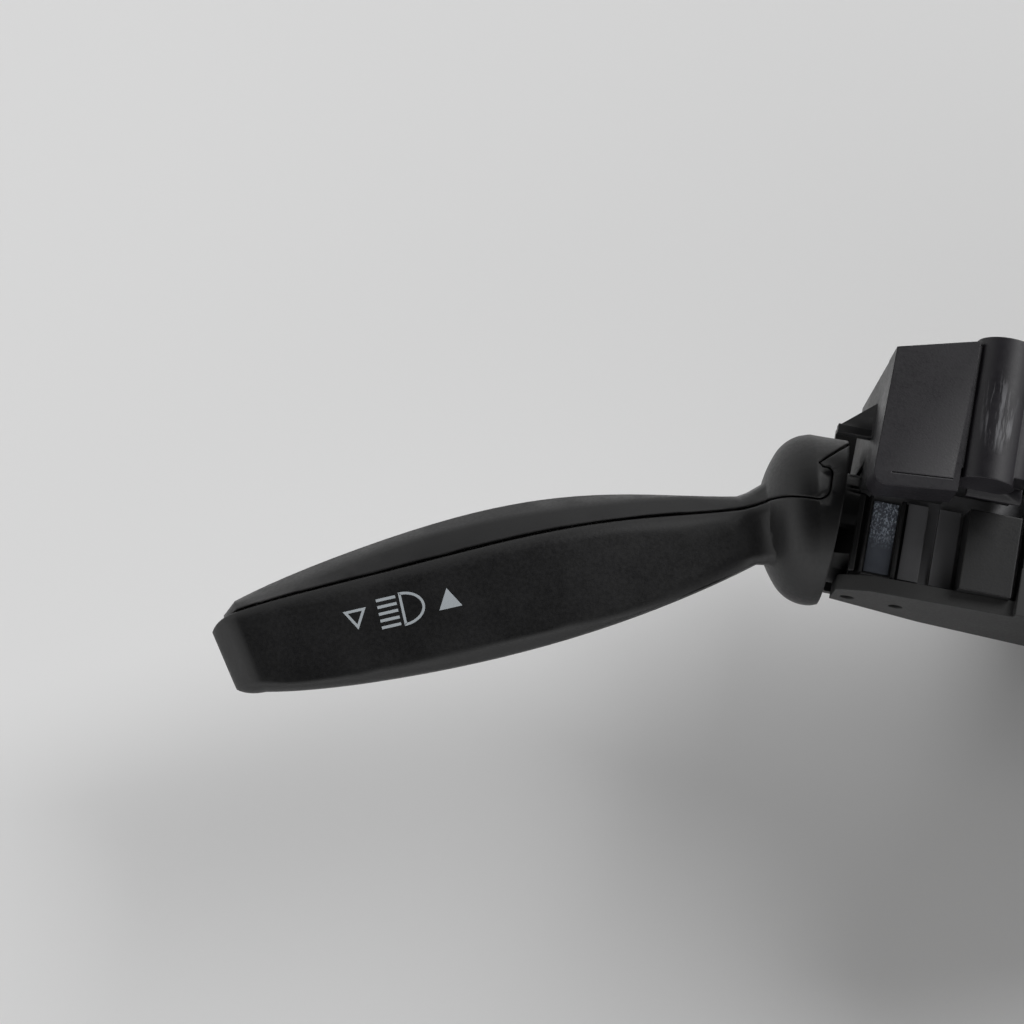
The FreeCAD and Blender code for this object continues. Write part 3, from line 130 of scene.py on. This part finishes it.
class Graph:
    """A material's node tree, with short ways to add nodes and join them."""

    def __init__(self, name: str) -> None:
        """Start an empty tree with a Principled shader on its output.

        Args:
            name: the material's name.
        """
        self.material = bpy.data.materials.new(name)
        self.material.use_nodes = True
        self.tree = self.material.node_tree
        self.tree.nodes.clear()
        self.shader = self.add("ShaderNodeBsdfPrincipled")
        output = self.add("ShaderNodeOutputMaterial")
        self.join(self.shader.outputs[0], output.inputs["Surface"])
        self.place = self.add("ShaderNodeTexCoord").outputs["Object"]

    def add(self, kind: str, **values: object) -> bpy.types.Node:
        """Add a node and set its inputs or its own settings.

        Args:
            kind: the node's type.
            values: input values by name, with _ for a blank, or the node's own attributes.

        Returns:
            The node.
        """
        made = self.tree.nodes.new(kind)
        for key, value in values.items():
            if hasattr(made, key):
                setattr(made, key, value)
            else:
                made.inputs[key.replace("_", " ")].default_value = value
        return made

    def join(self, source: bpy.types.NodeSocket, target: bpy.types.NodeSocket) -> None:
        """Link an output to an input."""
        self.tree.links.new(source, target)

    def noise(self, scale: float, detail: float = 2.0, roughness: float = 0.5,
              stretch: tuple[float, float, float] = (1, 1, 1)) -> bpy.types.NodeSocket:
        """Noise on Object coordinates.

        Args:
            scale: cycles per metre.
            detail: octaves of detail.
            roughness: weight of the finer octaves.
            stretch: scale along each axis.

        Returns:
            The noise's value output.
        """
        mapping = self.add("ShaderNodeMapping")
        mapping.inputs["Scale"].default_value = stretch
        self.join(self.place, mapping.inputs["Vector"])
        noise = self.add("ShaderNodeTexNoise", Scale=scale, Detail=detail, Roughness=roughness)
        self.join(mapping.outputs["Vector"], noise.inputs["Vector"])
        return noise.outputs["Fac"]

    def along(self, axis: str) -> bpy.types.NodeSocket:
        """The Object coordinate along X, Y or Z."""
        parts = self.add("ShaderNodeSeparateXYZ")
        self.join(self.place, parts.inputs[0])
        return parts.outputs[axis]

    def span(self, value: bpy.types.NodeSocket, low: float, high: float,
             to_low: float = 0.0, to_high: float = 1.0) -> bpy.types.NodeSocket:
        """A value mapped from one span to another, and held at its ends.

        Args:
            value: what is mapped.
            low: start of the span that is read.
            high: end of the span that is read.
            to_low: what the start becomes.
            to_high: what the end becomes.

        Returns:
            The mapped value.
        """
        node = self.add("ShaderNodeMapRange", clamp=True)
        self.join(value, node.inputs["Value"])
        for name, number in (("From Min", low), ("From Max", high), ("To Min", to_low), ("To Max", to_high)):
            node.inputs[name].default_value = number
        return node.outputs["Result"]

    def blend(self, share: bpy.types.NodeSocket, first: object, second: object) -> bpy.types.NodeSocket:
        """A colour between two, by a share from 0 to 1.

        Args:
            share: the share of the second.
            first: a colour or an output.
            second: a colour or an output.

        Returns:
            The mixed colour.
        """
        node = self.add("ShaderNodeMix", data_type="RGBA")
        self.join(share, node.inputs["Factor"])
        for name, value in (("A", first), ("B", second)):
            target = next(item for item in node.inputs if item.name == name and item.type == "RGBA")
            if isinstance(value, bpy.types.NodeSocket):
                self.join(value, target)
            else:
                target.default_value = (*value, 1.0)
        return next(item for item in node.outputs if item.type == "RGBA")

    def math(self, operation: str, first: object, second: object = 0.0) -> bpy.types.NodeSocket:
        """A sum of two values.

        Args:
            operation: the Math node's operation.
            first: a number or an output.
            second: a number or an output.

        Returns:
            The result.
        """
        node = self.add("ShaderNodeMath", operation=operation)
        for socket, value in zip(node.inputs, (first, second)):
            if isinstance(value, bpy.types.NodeSocket):
                self.join(value, socket)
            else:
                socket.default_value = value
        return node.outputs[0]

    def relief(self, heights: list[tuple[bpy.types.NodeSocket, float]], edge: float = 0.0) -> None:
        """Bump from several heights, over softened edges.

        Args:
            heights: each height from 0 to 1, with its depth in metres.
            edge: radius in metres by which sharp edges are softened in the shading.
        """
        normal = None
        if edge:
            softened = self.add("ShaderNodeBevel", samples=BEVEL_SAMPLES, Radius=edge)
            normal = softened.outputs["Normal"]
        for height, depth in heights:
            bump = self.add("ShaderNodeBump", Strength=1.0, Distance=depth)
            self.join(height, bump.inputs["Height"])
            if normal is not None:
                self.join(normal, bump.inputs["Normal"])
            normal = bump.outputs["Normal"]
        if normal is not None:
            self.join(normal, self.shader.inputs["Normal"])

    def edge_wear(self, radius: float) -> bpy.types.NodeSocket:
        """How close a point lies to a sharp edge, from 0 on a flat to 1 on an edge.

        Args:
            radius: reach of an edge in metres.

        Returns:
            The share.
        """
        softened = self.add("ShaderNodeBevel", samples=BEVEL_SAMPLES, Radius=radius)
        plain = self.add("ShaderNodeNewGeometry")
        dot = self.add("ShaderNodeVectorMath", operation="DOT_PRODUCT")
        self.join(softened.outputs["Normal"], dot.inputs[0])
        self.join(plain.outputs["Normal"], dot.inputs[1])
        return self.span(dot.outputs["Value"], 0.995, 0.90)


@dataclass(frozen=True)
class Moulded:
    """A moulded plastic finish with a fine grain.

    The lower and upper heights of the painted shade, which darkens the colour downwards, and the height
    above which it is rubbed in streaks (scuffed_above) are in metres, as are grain and edge.
    """

    name: str
    colour: tuple[float, float, float]
    roughness: float = 0.5
    grain: float = 0.012 * MM
    grain_scale: float = 2600.0
    cloud: float = 0.25
    edge: float = 0.35 * MM
    sheen_edge: float = 0.25
    specular: float = 0.5
    # Painted shade: the heights between which the colour darkens downwards, and the share of the colour that is
    # left at the lower height.
    shade_heights: tuple[float, float] | None = None
    shade_share: float = 0.12
    scuffed_above: float | None = None
    scuff_fade: float = 0.8 * MM
    scuff_share: float = 0.75
    scuff_colour: tuple[float, float, float] = grey(104, 3)

    def material(self) -> bpy.types.Material:
        """Build the finish.

        Returns:
            The material.
        """
        graph = Graph(self.name)
        cloud = graph.noise(90.0, 3.0)
        speck = graph.noise(1400.0, 2.0, 0.6)
        darker = tuple(value * (1 - self.cloud) for value in self.colour)
        lighter = tuple(value * (1 + self.cloud) for value in self.colour)
        colour = graph.blend(graph.span(cloud, 0.3, 0.7), darker, lighter)
        rubbed = tuple(min(1.0, value * 1.5 + 0.012) for value in self.colour)
        wear = graph.math("MULTIPLY", graph.edge_wear(self.edge * 1.2), self.sheen_edge)
        colour = graph.blend(wear, colour, rubbed)
        # Painted shade: the colour darkens downwards between the two heights, standing in for the shade that
        # falls low on the part.
        if self.shade_heights:
            unshaded = graph.span(graph.along("Z"), *self.shade_heights)
            colour = graph.blend(unshaded, tuple(value * self.shade_share for value in self.colour), colour)
        if self.scuffed_above is not None:
            streak = graph.span(graph.noise(1500.0, 3.0, 0.6, (1.0, 0.10, 1.0)), 0.50, 0.62)
            patch = graph.span(graph.noise(75.0, 2.0), 0.46, 0.60)
            top = graph.span(graph.along("Z"), self.scuffed_above, self.scuffed_above + self.scuff_fade,
                             0.0, self.scuff_share)
            scuff = graph.math("MULTIPLY", graph.math("MULTIPLY", streak, patch), top)
            colour = graph.blend(scuff, colour, self.scuff_colour)
        graph.join(colour, graph.shader.inputs["Base Color"])
        rough = graph.math("ADD", graph.span(cloud, 0.3, 0.7, -0.05, 0.05),
                           graph.span(speck, 0.3, 0.7, self.roughness - 0.05, self.roughness + 0.05))
        graph.join(rough, graph.shader.inputs["Roughness"])
        graph.shader.inputs["Specular IOR Level"].default_value = self.specular
        graph.relief([(graph.noise(self.grain_scale, 2.0, 0.55), self.grain),
                      (graph.noise(160.0, 2.0), self.grain * 1.5)], self.edge)
        return graph.material


@dataclass(frozen=True)
class Metal:
    """A plated or drawn metal finish."""

    name: str
    colour: tuple[float, float, float]
    roughness: float = 0.32
    stretch: tuple[float, float, float] = (1.0, 14.0, 1.0)
    edge: float = 0.25 * MM

    def material(self) -> bpy.types.Material:
        """Build the finish.

        Returns:
            The material.
        """
        graph = Graph(self.name)
        drawn = graph.noise(900.0, 4.0, 0.6, self.stretch)
        stain = graph.noise(70.0, 3.0)
        dull = tuple(value * 0.72 for value in self.colour)
        graph.join(graph.blend(graph.span(stain, 0.35, 0.75), self.colour, dull),
                   graph.shader.inputs["Base Color"])
        graph.shader.inputs["Metallic"].default_value = 1.0
        rough = graph.math("ADD", graph.span(drawn, 0.3, 0.7, self.roughness - 0.08, self.roughness + 0.08),
                           graph.span(stain, 0.3, 0.7, -0.03, 0.06))
        graph.join(rough, graph.shader.inputs["Roughness"])
        graph.relief([(drawn, 0.006 * MM), (stain, 0.01 * MM)], self.edge)
        return graph.material


@dataclass(frozen=True)
class Board:
    """A circuit board: solder resist over copper tracks."""

    name: str
    colour: tuple[float, float, float]
    track: tuple[float, float, float]
    track_gap: float = 0.22 * MM
    track_length: float = 6.1 * MM
    track_pitch: float = 1.7 * MM

    def material(self) -> bpy.types.Material:
        """Build the finish.

        Returns:
            The material.
        """
        graph = Graph(self.name)
        bricks = graph.add("ShaderNodeTexBrick", Scale=1.0, Mortar_Size=self.track_gap,
                           Brick_Width=self.track_length, Row_Height=self.track_pitch)
        graph.join(graph.place, bricks.inputs["Vector"])
        weave = graph.noise(1800.0, 1.0)
        tone = graph.blend(graph.span(weave, 0.3, 0.7), self.colour, tuple(v * 1.25 for v in self.colour))
        graph.join(graph.blend(bricks.outputs["Fac"], tone, self.track), graph.shader.inputs["Base Color"])
        graph.join(graph.span(weave, 0.3, 0.7, 0.28, 0.4), graph.shader.inputs["Roughness"])
        graph.relief([(bricks.outputs["Fac"], 0.03 * MM), (weave, 0.01 * MM)])
        return graph.material


@dataclass(frozen=True)
class Film:
    """A glossy strip that takes the light of its surroundings, with painted highlights in pale crease marks
    towards its rear end.
    """

    name: str
    colour: tuple[float, float, float]
    # Painted highlight: the pale colour of the glints, and the span along Y over which they rise towards the
    # rear.
    glint_colour: tuple[float, float, float]
    glint_span: tuple[float, float] = (9.0 * MM, 12.5 * MM)
    roughness: float = 0.16
    specular: float = 0.7
    wrinkle: float = 0.06 * MM
    edge: float = 0.3 * MM

    def material(self) -> bpy.types.Material:
        """Build the finish.

        Returns:
            The material.
        """
        graph = Graph(self.name)
        cloud = graph.noise(120.0, 4.0, 0.6)
        fold = graph.noise(260.0, 3.0, 0.55, (1.0, 0.45, 1.0))
        # Painted highlight: pale glints on fine creases, rising towards the strip's rear end.
        glint = graph.noise(3600.0, 3.0, 0.65, (1.0, 0.55, 0.5))
        rising = graph.span(graph.along("Y"), *self.glint_span)
        tone = graph.blend(graph.span(cloud, 0.35, 0.7), self.colour, tuple(v * 1.5 for v in self.colour))
        lit = graph.math("MULTIPLY", graph.span(glint, 0.50, 0.64), rising)
        graph.join(graph.blend(lit, tone, self.glint_colour), graph.shader.inputs["Base Color"])
        graph.join(graph.span(cloud, 0.3, 0.75, self.roughness - 0.04, self.roughness + 0.14),
                   graph.shader.inputs["Roughness"])
        graph.shader.inputs["Specular IOR Level"].default_value = self.specular
        graph.relief([(fold, self.wrinkle), (graph.noise(1500.0, 2.0), 0.008 * MM)], self.edge)
        return graph.material


class Finish(Enum):
    """The finishes of the assembly, by what they are on."""

    STALK = Moulded("stalk_grain", grey(14, 1), roughness=0.44, cloud=0.10, edge=0.6 * MM, specular=0.45)
    CARRIER = Moulded("carrier_grain", grey(40), roughness=0.6, cloud=0.12)
    # Painted shade: a near-black matt finish on the carrier's tray faces, standing in for the dark gap below
    # the bell.
    TRAY = Moulded("tray_painted_shade", grey(7), roughness=0.8, cloud=0.12, specular=0.15)
    CASE = Moulded("case_satin", grey(20, 1), roughness=0.5, cloud=0.12, specular=0.45)
    # Painted light: a light grey copy of the case plastic for the sunken deck, which lies in shade under the
    # lid.
    DECK = Moulded("deck_painted_light", grey(106, 2), roughness=0.42, cloud=0.10)
    LID = Moulded("lid_satin", linear(22, 20, 25), roughness=0.46, cloud=0.14, specular=0.45,
                  scuffed_above=38.6 * MM)
    # Painted shade: the side wall's colour darkens downwards from 34 mm to 12 mm, where shade falls on the
    # lower wall.
    WALL = Moulded("wall_satin", grey(42, 2), roughness=0.48, cloud=0.12, shade_heights=(12 * MM, 34 * MM))
    DRUM = Moulded("drum_satin", grey(38), roughness=0.5, cloud=0.1)
    ROTOR = Moulded("rotor_satin", grey(46), roughness=0.5, cloud=0.1)
    ACETAL = Moulded("natural_acetal", linear(226, 222, 208), roughness=0.38, cloud=0.04, sheen_edge=0.1)
    CORE = Moulded("glass_filled", grey(44), roughness=0.55, cloud=0.2)
    CONNECTOR = Moulded("connector_moulding", grey(48), roughness=0.5)
    PLUG = Moulded("yellow_moulding", linear(226, 184, 42), roughness=0.45, cloud=0.05)
    RIBBON = Moulded("polyimide_band", linear(190, 132, 50), roughness=0.3, cloud=0.1,
                      grain=0.004 * MM)
    BAND = Metal("zinc_band", linear(176, 178, 176), roughness=0.36)
    SCREW = Metal("zinc_screw", linear(172, 172, 168), roughness=0.3, stretch=(1, 1, 1))
    STEEL = Metal("polished_steel", linear(190, 190, 192), roughness=0.2, stretch=(1, 1, 1))
    PIN = Metal("tinned_pin", linear(200, 180, 120), roughness=0.3, stretch=(1, 1, 1))
    BOARD = Board("solder_resist", linear(18, 84, 46), linear(40, 116, 66))
    # Painted highlight: the second colour is the pale glint painted on the strip's creases.
    FILM = Film("gloss_strip", linear(84, 88, 96), linear(196, 206, 220))
    INK = Moulded("pad_ink", linear(160, 166, 170), roughness=0.6, cloud=0.05, edge=0.0, sheen_edge=0.0,
                  specular=0.2)

    def make(self) -> bpy.types.Material:
        """The finish's material, built once."""
        return bpy.data.materials.get(self.value.name) or self.value.material()


@dataclass
class Photographer:
    """The camera, the floor and the light."""

    place: tuple[float, float, float] = (-0.13222, -0.09800, 0.45571)
    elevation: float = 77.0
    azimuth: float = 8.5
    roll: float = 2.7
    lens: float = 84.375
    sensor: float = 36.0
    view_reach: tuple[float, float] = (0.01, 60.0)
    floor_half: float = 14.0
    floor_cells: int = 12
    floor_tones: tuple[int, int] = (232, 236)
    key_energy: float = 2.75
    key_spread: float = 46.0
    key_tilt: tuple[float, float] = (57.0, 142.0)
    tent_levels: tuple[float, float] = (1.35, 0.03)
    tent_rise: tuple[float, float] = (0.30, 0.85)
    rear_fall: tuple[float, float] = (-0.5, 0.6)
    rear_share: float = 0.45

    def set_camera(self) -> None:
        """Place the camera where the photograph was taken from."""
        rise, turn, roll = (math.radians(value) for value in (self.elevation, self.azimuth, self.roll))
        ahead = -Vector((math.sin(turn) * math.cos(rise), -math.cos(turn) * math.cos(rise), math.sin(rise)))
        right = Vector((math.cos(turn), math.sin(turn), 0))
        down = ahead.cross(right)
        rolled_right = right * math.cos(roll) - down * math.sin(roll)
        rolled_down = right * math.sin(roll) + down * math.cos(roll)
        data = bpy.data.cameras.new("camera")
        data.lens = self.lens
        data.sensor_width = self.sensor
        data.clip_start, data.clip_end = self.view_reach
        camera = bpy.data.objects.new("camera", data)
        turned = Matrix((rolled_right, -rolled_down, -ahead)).transposed().to_4x4()
        camera.matrix_world = Matrix.Translation(self.place) @ turned
        bpy.context.scene.collection.objects.link(camera)
        bpy.context.scene.camera = camera

    def set_floor(self) -> None:
        """Lay a wide pale floor under the unit."""
        bpy.ops.mesh.primitive_grid_add(x_subdivisions=self.floor_cells, y_subdivisions=self.floor_cells,
                                        size=2 * self.floor_half, location=(0, 0, FLOOR_LEVEL))
        floor = bpy.context.object
        floor.name = "floor"
        graph = Graph("paper_sweep")
        tone = graph.noise(1.6, 2.0)
        graph.join(graph.blend(graph.span(tone, 0.3, 0.7), *(grey(level) for level in self.floor_tones)),
                   graph.shader.inputs["Base Color"])
        graph.shader.inputs["Roughness"].default_value = 0.9
        graph.shader.inputs["Specular IOR Level"].default_value = 0.1
        floor.data.materials.append(graph.material)

    def set_light(self) -> None:
        """Soft key light from high behind, inside a bright tent that is darker overhead."""
        data = bpy.data.lights.new("key_light", "SUN")
        data.energy = self.key_energy
        data.angle = math.radians(self.key_spread)
        key = bpy.data.objects.new("key_light", data)
        key.rotation_euler = (math.radians(self.key_tilt[0]), 0, math.radians(self.key_tilt[1]))
        bpy.context.scene.collection.objects.link(key)
        self.set_tent()

    def set_tent(self) -> None:
        """Light from all round that falls off overhead and towards the unit's front."""
        world = bpy.data.worlds.new("tent")
        world.use_nodes = True
        bpy.context.scene.world = world
        tree = world.node_tree
        tree.nodes.clear()
        output, background, way, parts, level, rear = (tree.nodes.new(f"ShaderNode{kind}") for kind in (
            "OutputWorld", "Background", "TexCoord", "SeparateXYZ", "MapRange", "MapRange"))
        level.interpolation_type = "SMOOTHSTEP"
        for node, read, given in ((level, self.tent_rise, self.tent_levels),
                                  (rear, self.rear_fall, (1.0, self.rear_share))):
            node.inputs["From Min"].default_value, node.inputs["From Max"].default_value = read
            node.inputs["To Min"].default_value, node.inputs["To Max"].default_value = given
        tree.links.new(way.outputs["Generated"], parts.inputs["Vector"])
        tree.links.new(parts.outputs["Z"], level.inputs["Value"])
        tree.links.new(parts.outputs["Y"], rear.inputs["Value"])
        tree.links.new(level.outputs["Result"], background.inputs["Color"])
        tree.links.new(rear.outputs["Result"], background.inputs["Strength"])
        tree.links.new(background.outputs["Background"], output.inputs["Surface"])

    def build(self) -> None:
        """Set the camera, the floor and the light."""
        self.set_camera()
        self.set_floor()
        self.set_light()


@dataclass(frozen=True)
class Deck:
    """Level faces of a piece that wear a finish of their own: painted light on the switch case's sunken deck,
    and painted shade on the carrier's tray.

    The faces lie between the heights low and high, within reach of the middle plane, in metres.
    """

    finish: Finish
    low: float
    high: float
    reach: float = 1.0

    def paint(self, piece: bpy.types.Object) -> None:
        """Give the piece's faces on the deck the second finish, which paints light or shade on them.

        Args:
            piece: the piece, which wears its first finish all over.
        """
        piece.data.materials.append(self.finish.make())
        for face in piece.data.polygons:
            if (face.normal.z > LEVEL_SLOPE and self.low < face.center.z < self.high
                    and abs(face.center.x) < self.reach):
                face.material_index = 1


def refine(node: str, body: str, finish: Finish, smooth_to: float = 42.0,
           deck: Deck | None = None) -> bpy.types.Object:
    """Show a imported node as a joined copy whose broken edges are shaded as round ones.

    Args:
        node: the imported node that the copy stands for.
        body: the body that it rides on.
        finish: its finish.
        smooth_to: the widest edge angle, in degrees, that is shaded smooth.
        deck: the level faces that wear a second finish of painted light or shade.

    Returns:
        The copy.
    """
    packed = frame["nodes"][node]
    bpy.ops.object.select_all(action="DESELECT")
    piece = packed.copy()
    piece.data = packed.data.copy()
    piece.parent = None
    piece.name = f"{node}_shown"
    bpy.context.scene.collection.objects.link(piece)
    piece.select_set(True)
    bpy.context.view_layer.objects.active = piece
    bpy.ops.object.mode_set(mode="EDIT")
    bpy.ops.mesh.select_all(action="SELECT")
    bpy.ops.mesh.remove_doubles(threshold=MERGE_REACH)
    bpy.ops.mesh.dissolve_limited(angle_limit=FLAT_ANGLE)
    bpy.ops.object.mode_set(mode="OBJECT")
    bpy.ops.object.shade_smooth_by_angle(angle=math.radians(smooth_to))
    weigh = piece.modifiers.new("weigh_normals", "WEIGHTED_NORMAL")
    weigh.keep_sharp = True
    bpy.ops.object.modifier_apply(modifier=weigh.name)
    piece.data.materials.clear()
    piece.data.materials.append(finish.make())
    if deck:
        deck.paint(piece)
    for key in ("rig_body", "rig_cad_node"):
        if key in piece:
            del piece[key]
    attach(piece, body)
    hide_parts(node)
    LOG.info("%s stands for %s", piece.name, node)
    return piece


def dress(finish: Finish, *nodes: str) -> None:
    """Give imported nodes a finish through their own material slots.

    Args:
        finish: the finish.
        nodes: the nodes' names.
    """
    for name in nodes:
        piece = frame["nodes"][name]
        if not piece.material_slots:
            piece.data.materials.append(None)
        for slot in piece.material_slots:
            slot.link = "OBJECT"
            slot.material = finish.make()
        LOG.info("%s wears %s", name, finish.value.name)


class Sheet:
    """Flat pictograms drawn on a lever's own axes: x runs out from the neck, y to the rear."""

    def __init__(self, name: str) -> None:
        """Start an empty sheet.

        Args:
            name: the finished object's name.
        """
        self.name = name
        self.shapes: list[bpy.types.Object] = []

    def keep(self, shape: bpy.types.Object) -> None:
        """Count a shape to the sheet with its place in its mesh."""
        bpy.ops.object.transform_apply(location=True, rotation=True, scale=True)
        self.shapes.append(shape)

    def bar(self, start: tuple[float, float], end: tuple[float, float], width: float) -> None:
        """A stroke from one point to another.

        Args:
            start: where it starts, in metres.
            end: where it ends.
            width: the stroke's width.
        """
        along = Vector(end) - Vector(start)
        middle = (Vector(start) + Vector(end)) / 2
        bpy.ops.mesh.primitive_plane_add(size=1.0, location=(*middle, 0))
        stroke = bpy.context.object
        stroke.rotation_euler.z = math.atan2(along.y, along.x)
        stroke.scale = (along.length, width, 1)
        self.keep(stroke)

    def outline(self, corners: int, centre: tuple[float, float], reach: tuple[float, float],
                width: float, turn: float = 0.0, flat_at: float | None = None) -> None:
        """A regular outline, filled or as a rim, with one side cut flat where asked.

        Args:
            corners: the number of corners.
            centre: its centre, in metres.
            reach: half size along x and y.
            width: the rim's width, or 0 for a filled shape.
            turn: turn in degrees.
            flat_at: the x beyond which the shape is cut off, measured from the centre.
        """
        bpy.ops.mesh.primitive_circle_add(vertices=corners, radius=1.0, fill_type="NGON", location=(*centre, 0))
        shape = bpy.context.object
        shape.rotation_euler.z = math.radians(turn)
        bpy.ops.object.transform_apply(location=False, rotation=True, scale=False)
        shape.scale = (*reach, 1)
        self.keep(shape)
        bpy.ops.object.mode_set(mode="EDIT")
        bpy.ops.mesh.select_all(action="SELECT")
        if flat_at is not None:
            bpy.ops.mesh.bisect(plane_co=(centre[0] + flat_at, centre[1], 0), plane_no=(1, 0, 0),
                                use_fill=False, clear_outer=True)
            bpy.ops.mesh.select_all(action="SELECT")
        if width:
            bpy.ops.mesh.inset(thickness=width, use_even_offset=True)
            bpy.ops.mesh.delete(type="FACE")
        bpy.ops.object.mode_set(mode="OBJECT")

    def print_on(self, shell: bpy.types.Object, side: Side, finish: Finish) -> bpy.types.Object:
        """Lay the sheet on a lever's upper face as one thin print.

        Args:
            shell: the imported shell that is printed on.
            side: the lever's side.
            finish: the ink.

        Returns:
            The print.
        """
        bpy.ops.object.select_all(action="DESELECT")
        for shape in self.shapes:
            shape.select_set(True)
        bpy.context.view_layer.objects.active = self.shapes[0]
        bpy.ops.object.join()
        print_ = bpy.context.object
        print_.name = self.name
        out = Vector((side.sign * math.cos(SWEEP), -math.sin(SWEEP), 0))
        rear = Vector((side.sign * math.sin(SWEEP), math.cos(SWEEP), 0))
        neck = Vector((side.sign * NECK.x, NECK.y, NECK.z + SHEET_RISE))
        print_.matrix_world = Matrix.Translation(neck) @ Matrix((out, rear, (0, 0, 1))).transposed().to_4x4()
        bpy.ops.object.transform_apply(location=True, rotation=True, scale=True)
        wrap = print_.modifiers.new("lie_on_face", "SHRINKWRAP")
        wrap.target = shell
        wrap.wrap_method = "PROJECT"
        wrap.use_project_z = True
        wrap.use_negative_direction = True
        wrap.use_positive_direction = False
        wrap.offset = PRINT_RISE
        bpy.ops.object.modifier_apply(modifier=wrap.name)
        bpy.ops.object.mode_set(mode="EDIT")
        bpy.ops.mesh.select_all(action="SELECT")
        bpy.ops.mesh.normals_make_consistent(inside=False)
        bpy.ops.object.mode_set(mode="OBJECT")
        if sum(face.normal.z for face in print_.data.polygons) < 0:
            print_.data.flip_normals()
        print_.data.materials.append(finish.make())
        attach(print_, f"{side.value}_lever")
        return print_


@dataclass
class LightSymbols:
    """The printed lamp symbols on the left lever's upper face."""

    stroke: float = 0.55 * MM
    rim: float = 0.5 * MM
    triangle_low: float = 79.1 * MM
    triangle_high: float = 61.4 * MM
    triangle_reach: tuple[float, float] = (2.55 * MM, 2.55 * MM)
    triangle_offsets: tuple[float, float] = (0.65 * MM, -0.55 * MM)
    lamp_at: float = 70.3 * MM
    lamp_reach: tuple[float, float] = (4.3 * MM, 3.2 * MM)
    lamp_corners: int = 56
    lamp_flat: float = 0.2 * MM
    level: float = -1.0 * MM
    beam_start: float = 71.1 * MM
    beam_end: float = 74.8 * MM
    beam_pitch: float = 1.3 * MM

    def build(self, shell: bpy.types.Object) -> bpy.types.Object:
        """Draw and print the symbols.

        Args:
            shell: the lever's front shell.

        Returns:
            The print.
        """
        sheet = Sheet("left_stalk_print")
        low, high = (self.level + offset for offset in self.triangle_offsets)
        sheet.outline(3, (self.triangle_low, low), self.triangle_reach, self.rim, turn=180)
        sheet.outline(3, (self.triangle_high, high), self.triangle_reach, 0.0)
        sheet.outline(self.lamp_corners, (self.lamp_at, self.level), self.lamp_reach, self.rim,
                      flat_at=self.lamp_flat)
        for row in range(-2, 3):
            level = self.level + row * self.beam_pitch
            sheet.bar((self.beam_start, level), (self.beam_end, level), self.stroke)
        return sheet.print_on(shell, Side.LEFT, Finish.INK)


@dataclass
class LeverSwitch:
    """One lever with its switch case, upper module and the parts inside."""

    side: Side
    spring_seat: float = 68.4 * MM
    spring_length: float = 3.4 * MM
    plunger_travel: float = 1.2 * MM
    # Painted light: the switch case's sunken deck wears a lighter grey than the rest of the case.
    deck: Deck = Deck(Finish.DECK, 15.1 * MM, 16.3 * MM, 76.5 * MM)

    def name(self, part: str) -> str:
        """A node's name on this side."""
        return f"{self.side.value}_{part}"

    def build(self) -> None:
        """Dress the switch."""
        for shell in ("stalk_front_shell", "stalk_rear_shell"):
            refine(self.name(shell), self.name("lever"), Finish.STALK)
        refine(self.name("switch_case"), "housing", Finish.CASE, deck=self.deck)
        refine(self.name("module_case"), "housing", Finish.WALL)
        refine(self.name("module_lid"), "housing", Finish.LID)
        dress(Finish.CASE, self.name("board_posts"))
        dress(Finish.FILM, self.name("shield_strip"))
        dress(Finish.ACETAL, self.name("cradle"), self.name("contact_slider"), self.name("detent_track"))
        dress(Finish.CORE, self.name("lever_core"))
        dress(Finish.STEEL, self.name("detent_plunger"))
        spring = refine(self.name("detent_spring"), self.name("lever"), Finish.STEEL)
        self.name("detent")
        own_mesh(spring)
        dress(Finish.BOARD, self.name("module_board"))
        if self.side is Side.LEFT:
            LightSymbols().build(frame["nodes"][self.name("stalk_front_shell")])


@dataclass
class Carrier:
    """The moulded carrier with its collar, clamp and lower electronics."""

    # Painted shade: the carrier's tray faces wear the near-black finish.
    tray: Deck = Deck(Finish.TRAY, -13.5 * MM, -13.3 * MM, 120 * MM)

    def build(self) -> None:
        """Dress the carrier and what is fixed to it."""
        refine("carrier_housing", "housing", Finish.CARRIER, deck=self.tray)
        refine("column_clamp", "housing", Finish.BAND)
        dress(Finish.SCREW, "clamp_screw", "clamp_nut", "drum_screws")
        refine("electronics_case", "housing", Finish.CASE)
        refine("electronics_lid", "housing", Finish.CASE)
        refine("main_connector", "housing", Finish.CONNECTOR)
        dress(Finish.PIN, "connector_pins")
        dress(Finish.BOARD, "main_board")


@dataclass
class ClockSpring:
    """The drum with its turning hub, cable and cancel cam."""

    def build(self) -> None:
        """Dress the drum and what turns in it."""
        refine("clockspring_stator", "housing", Finish.DRUM)
        refine("clockspring_cover", "housing", Finish.DRUM)
        refine("clockspring_rotor", "rotor", Finish.ROTOR)
        refine("cancel_cam", "rotor", Finish.ACETAL)
        refine("rotor_plug", "rotor", Finish.PLUG)
        dress(Finish.RIBBON, "clockspring_ribbon")


def main() -> None:
    """Build the scene in order."""
    logging.basicConfig(level=logging.INFO, format="%(name)s: %(message)s")
    bpy.ops.object.select_all(action="DESELECT")
    scene = bpy.context.scene
    scene.view_settings.view_transform = "Standard"
    Photographer().build()
    Carrier().build()
    ClockSpring().build()
    for side in Side:
        LeverSwitch(side).build()


if __name__ == "__main__":
    main()
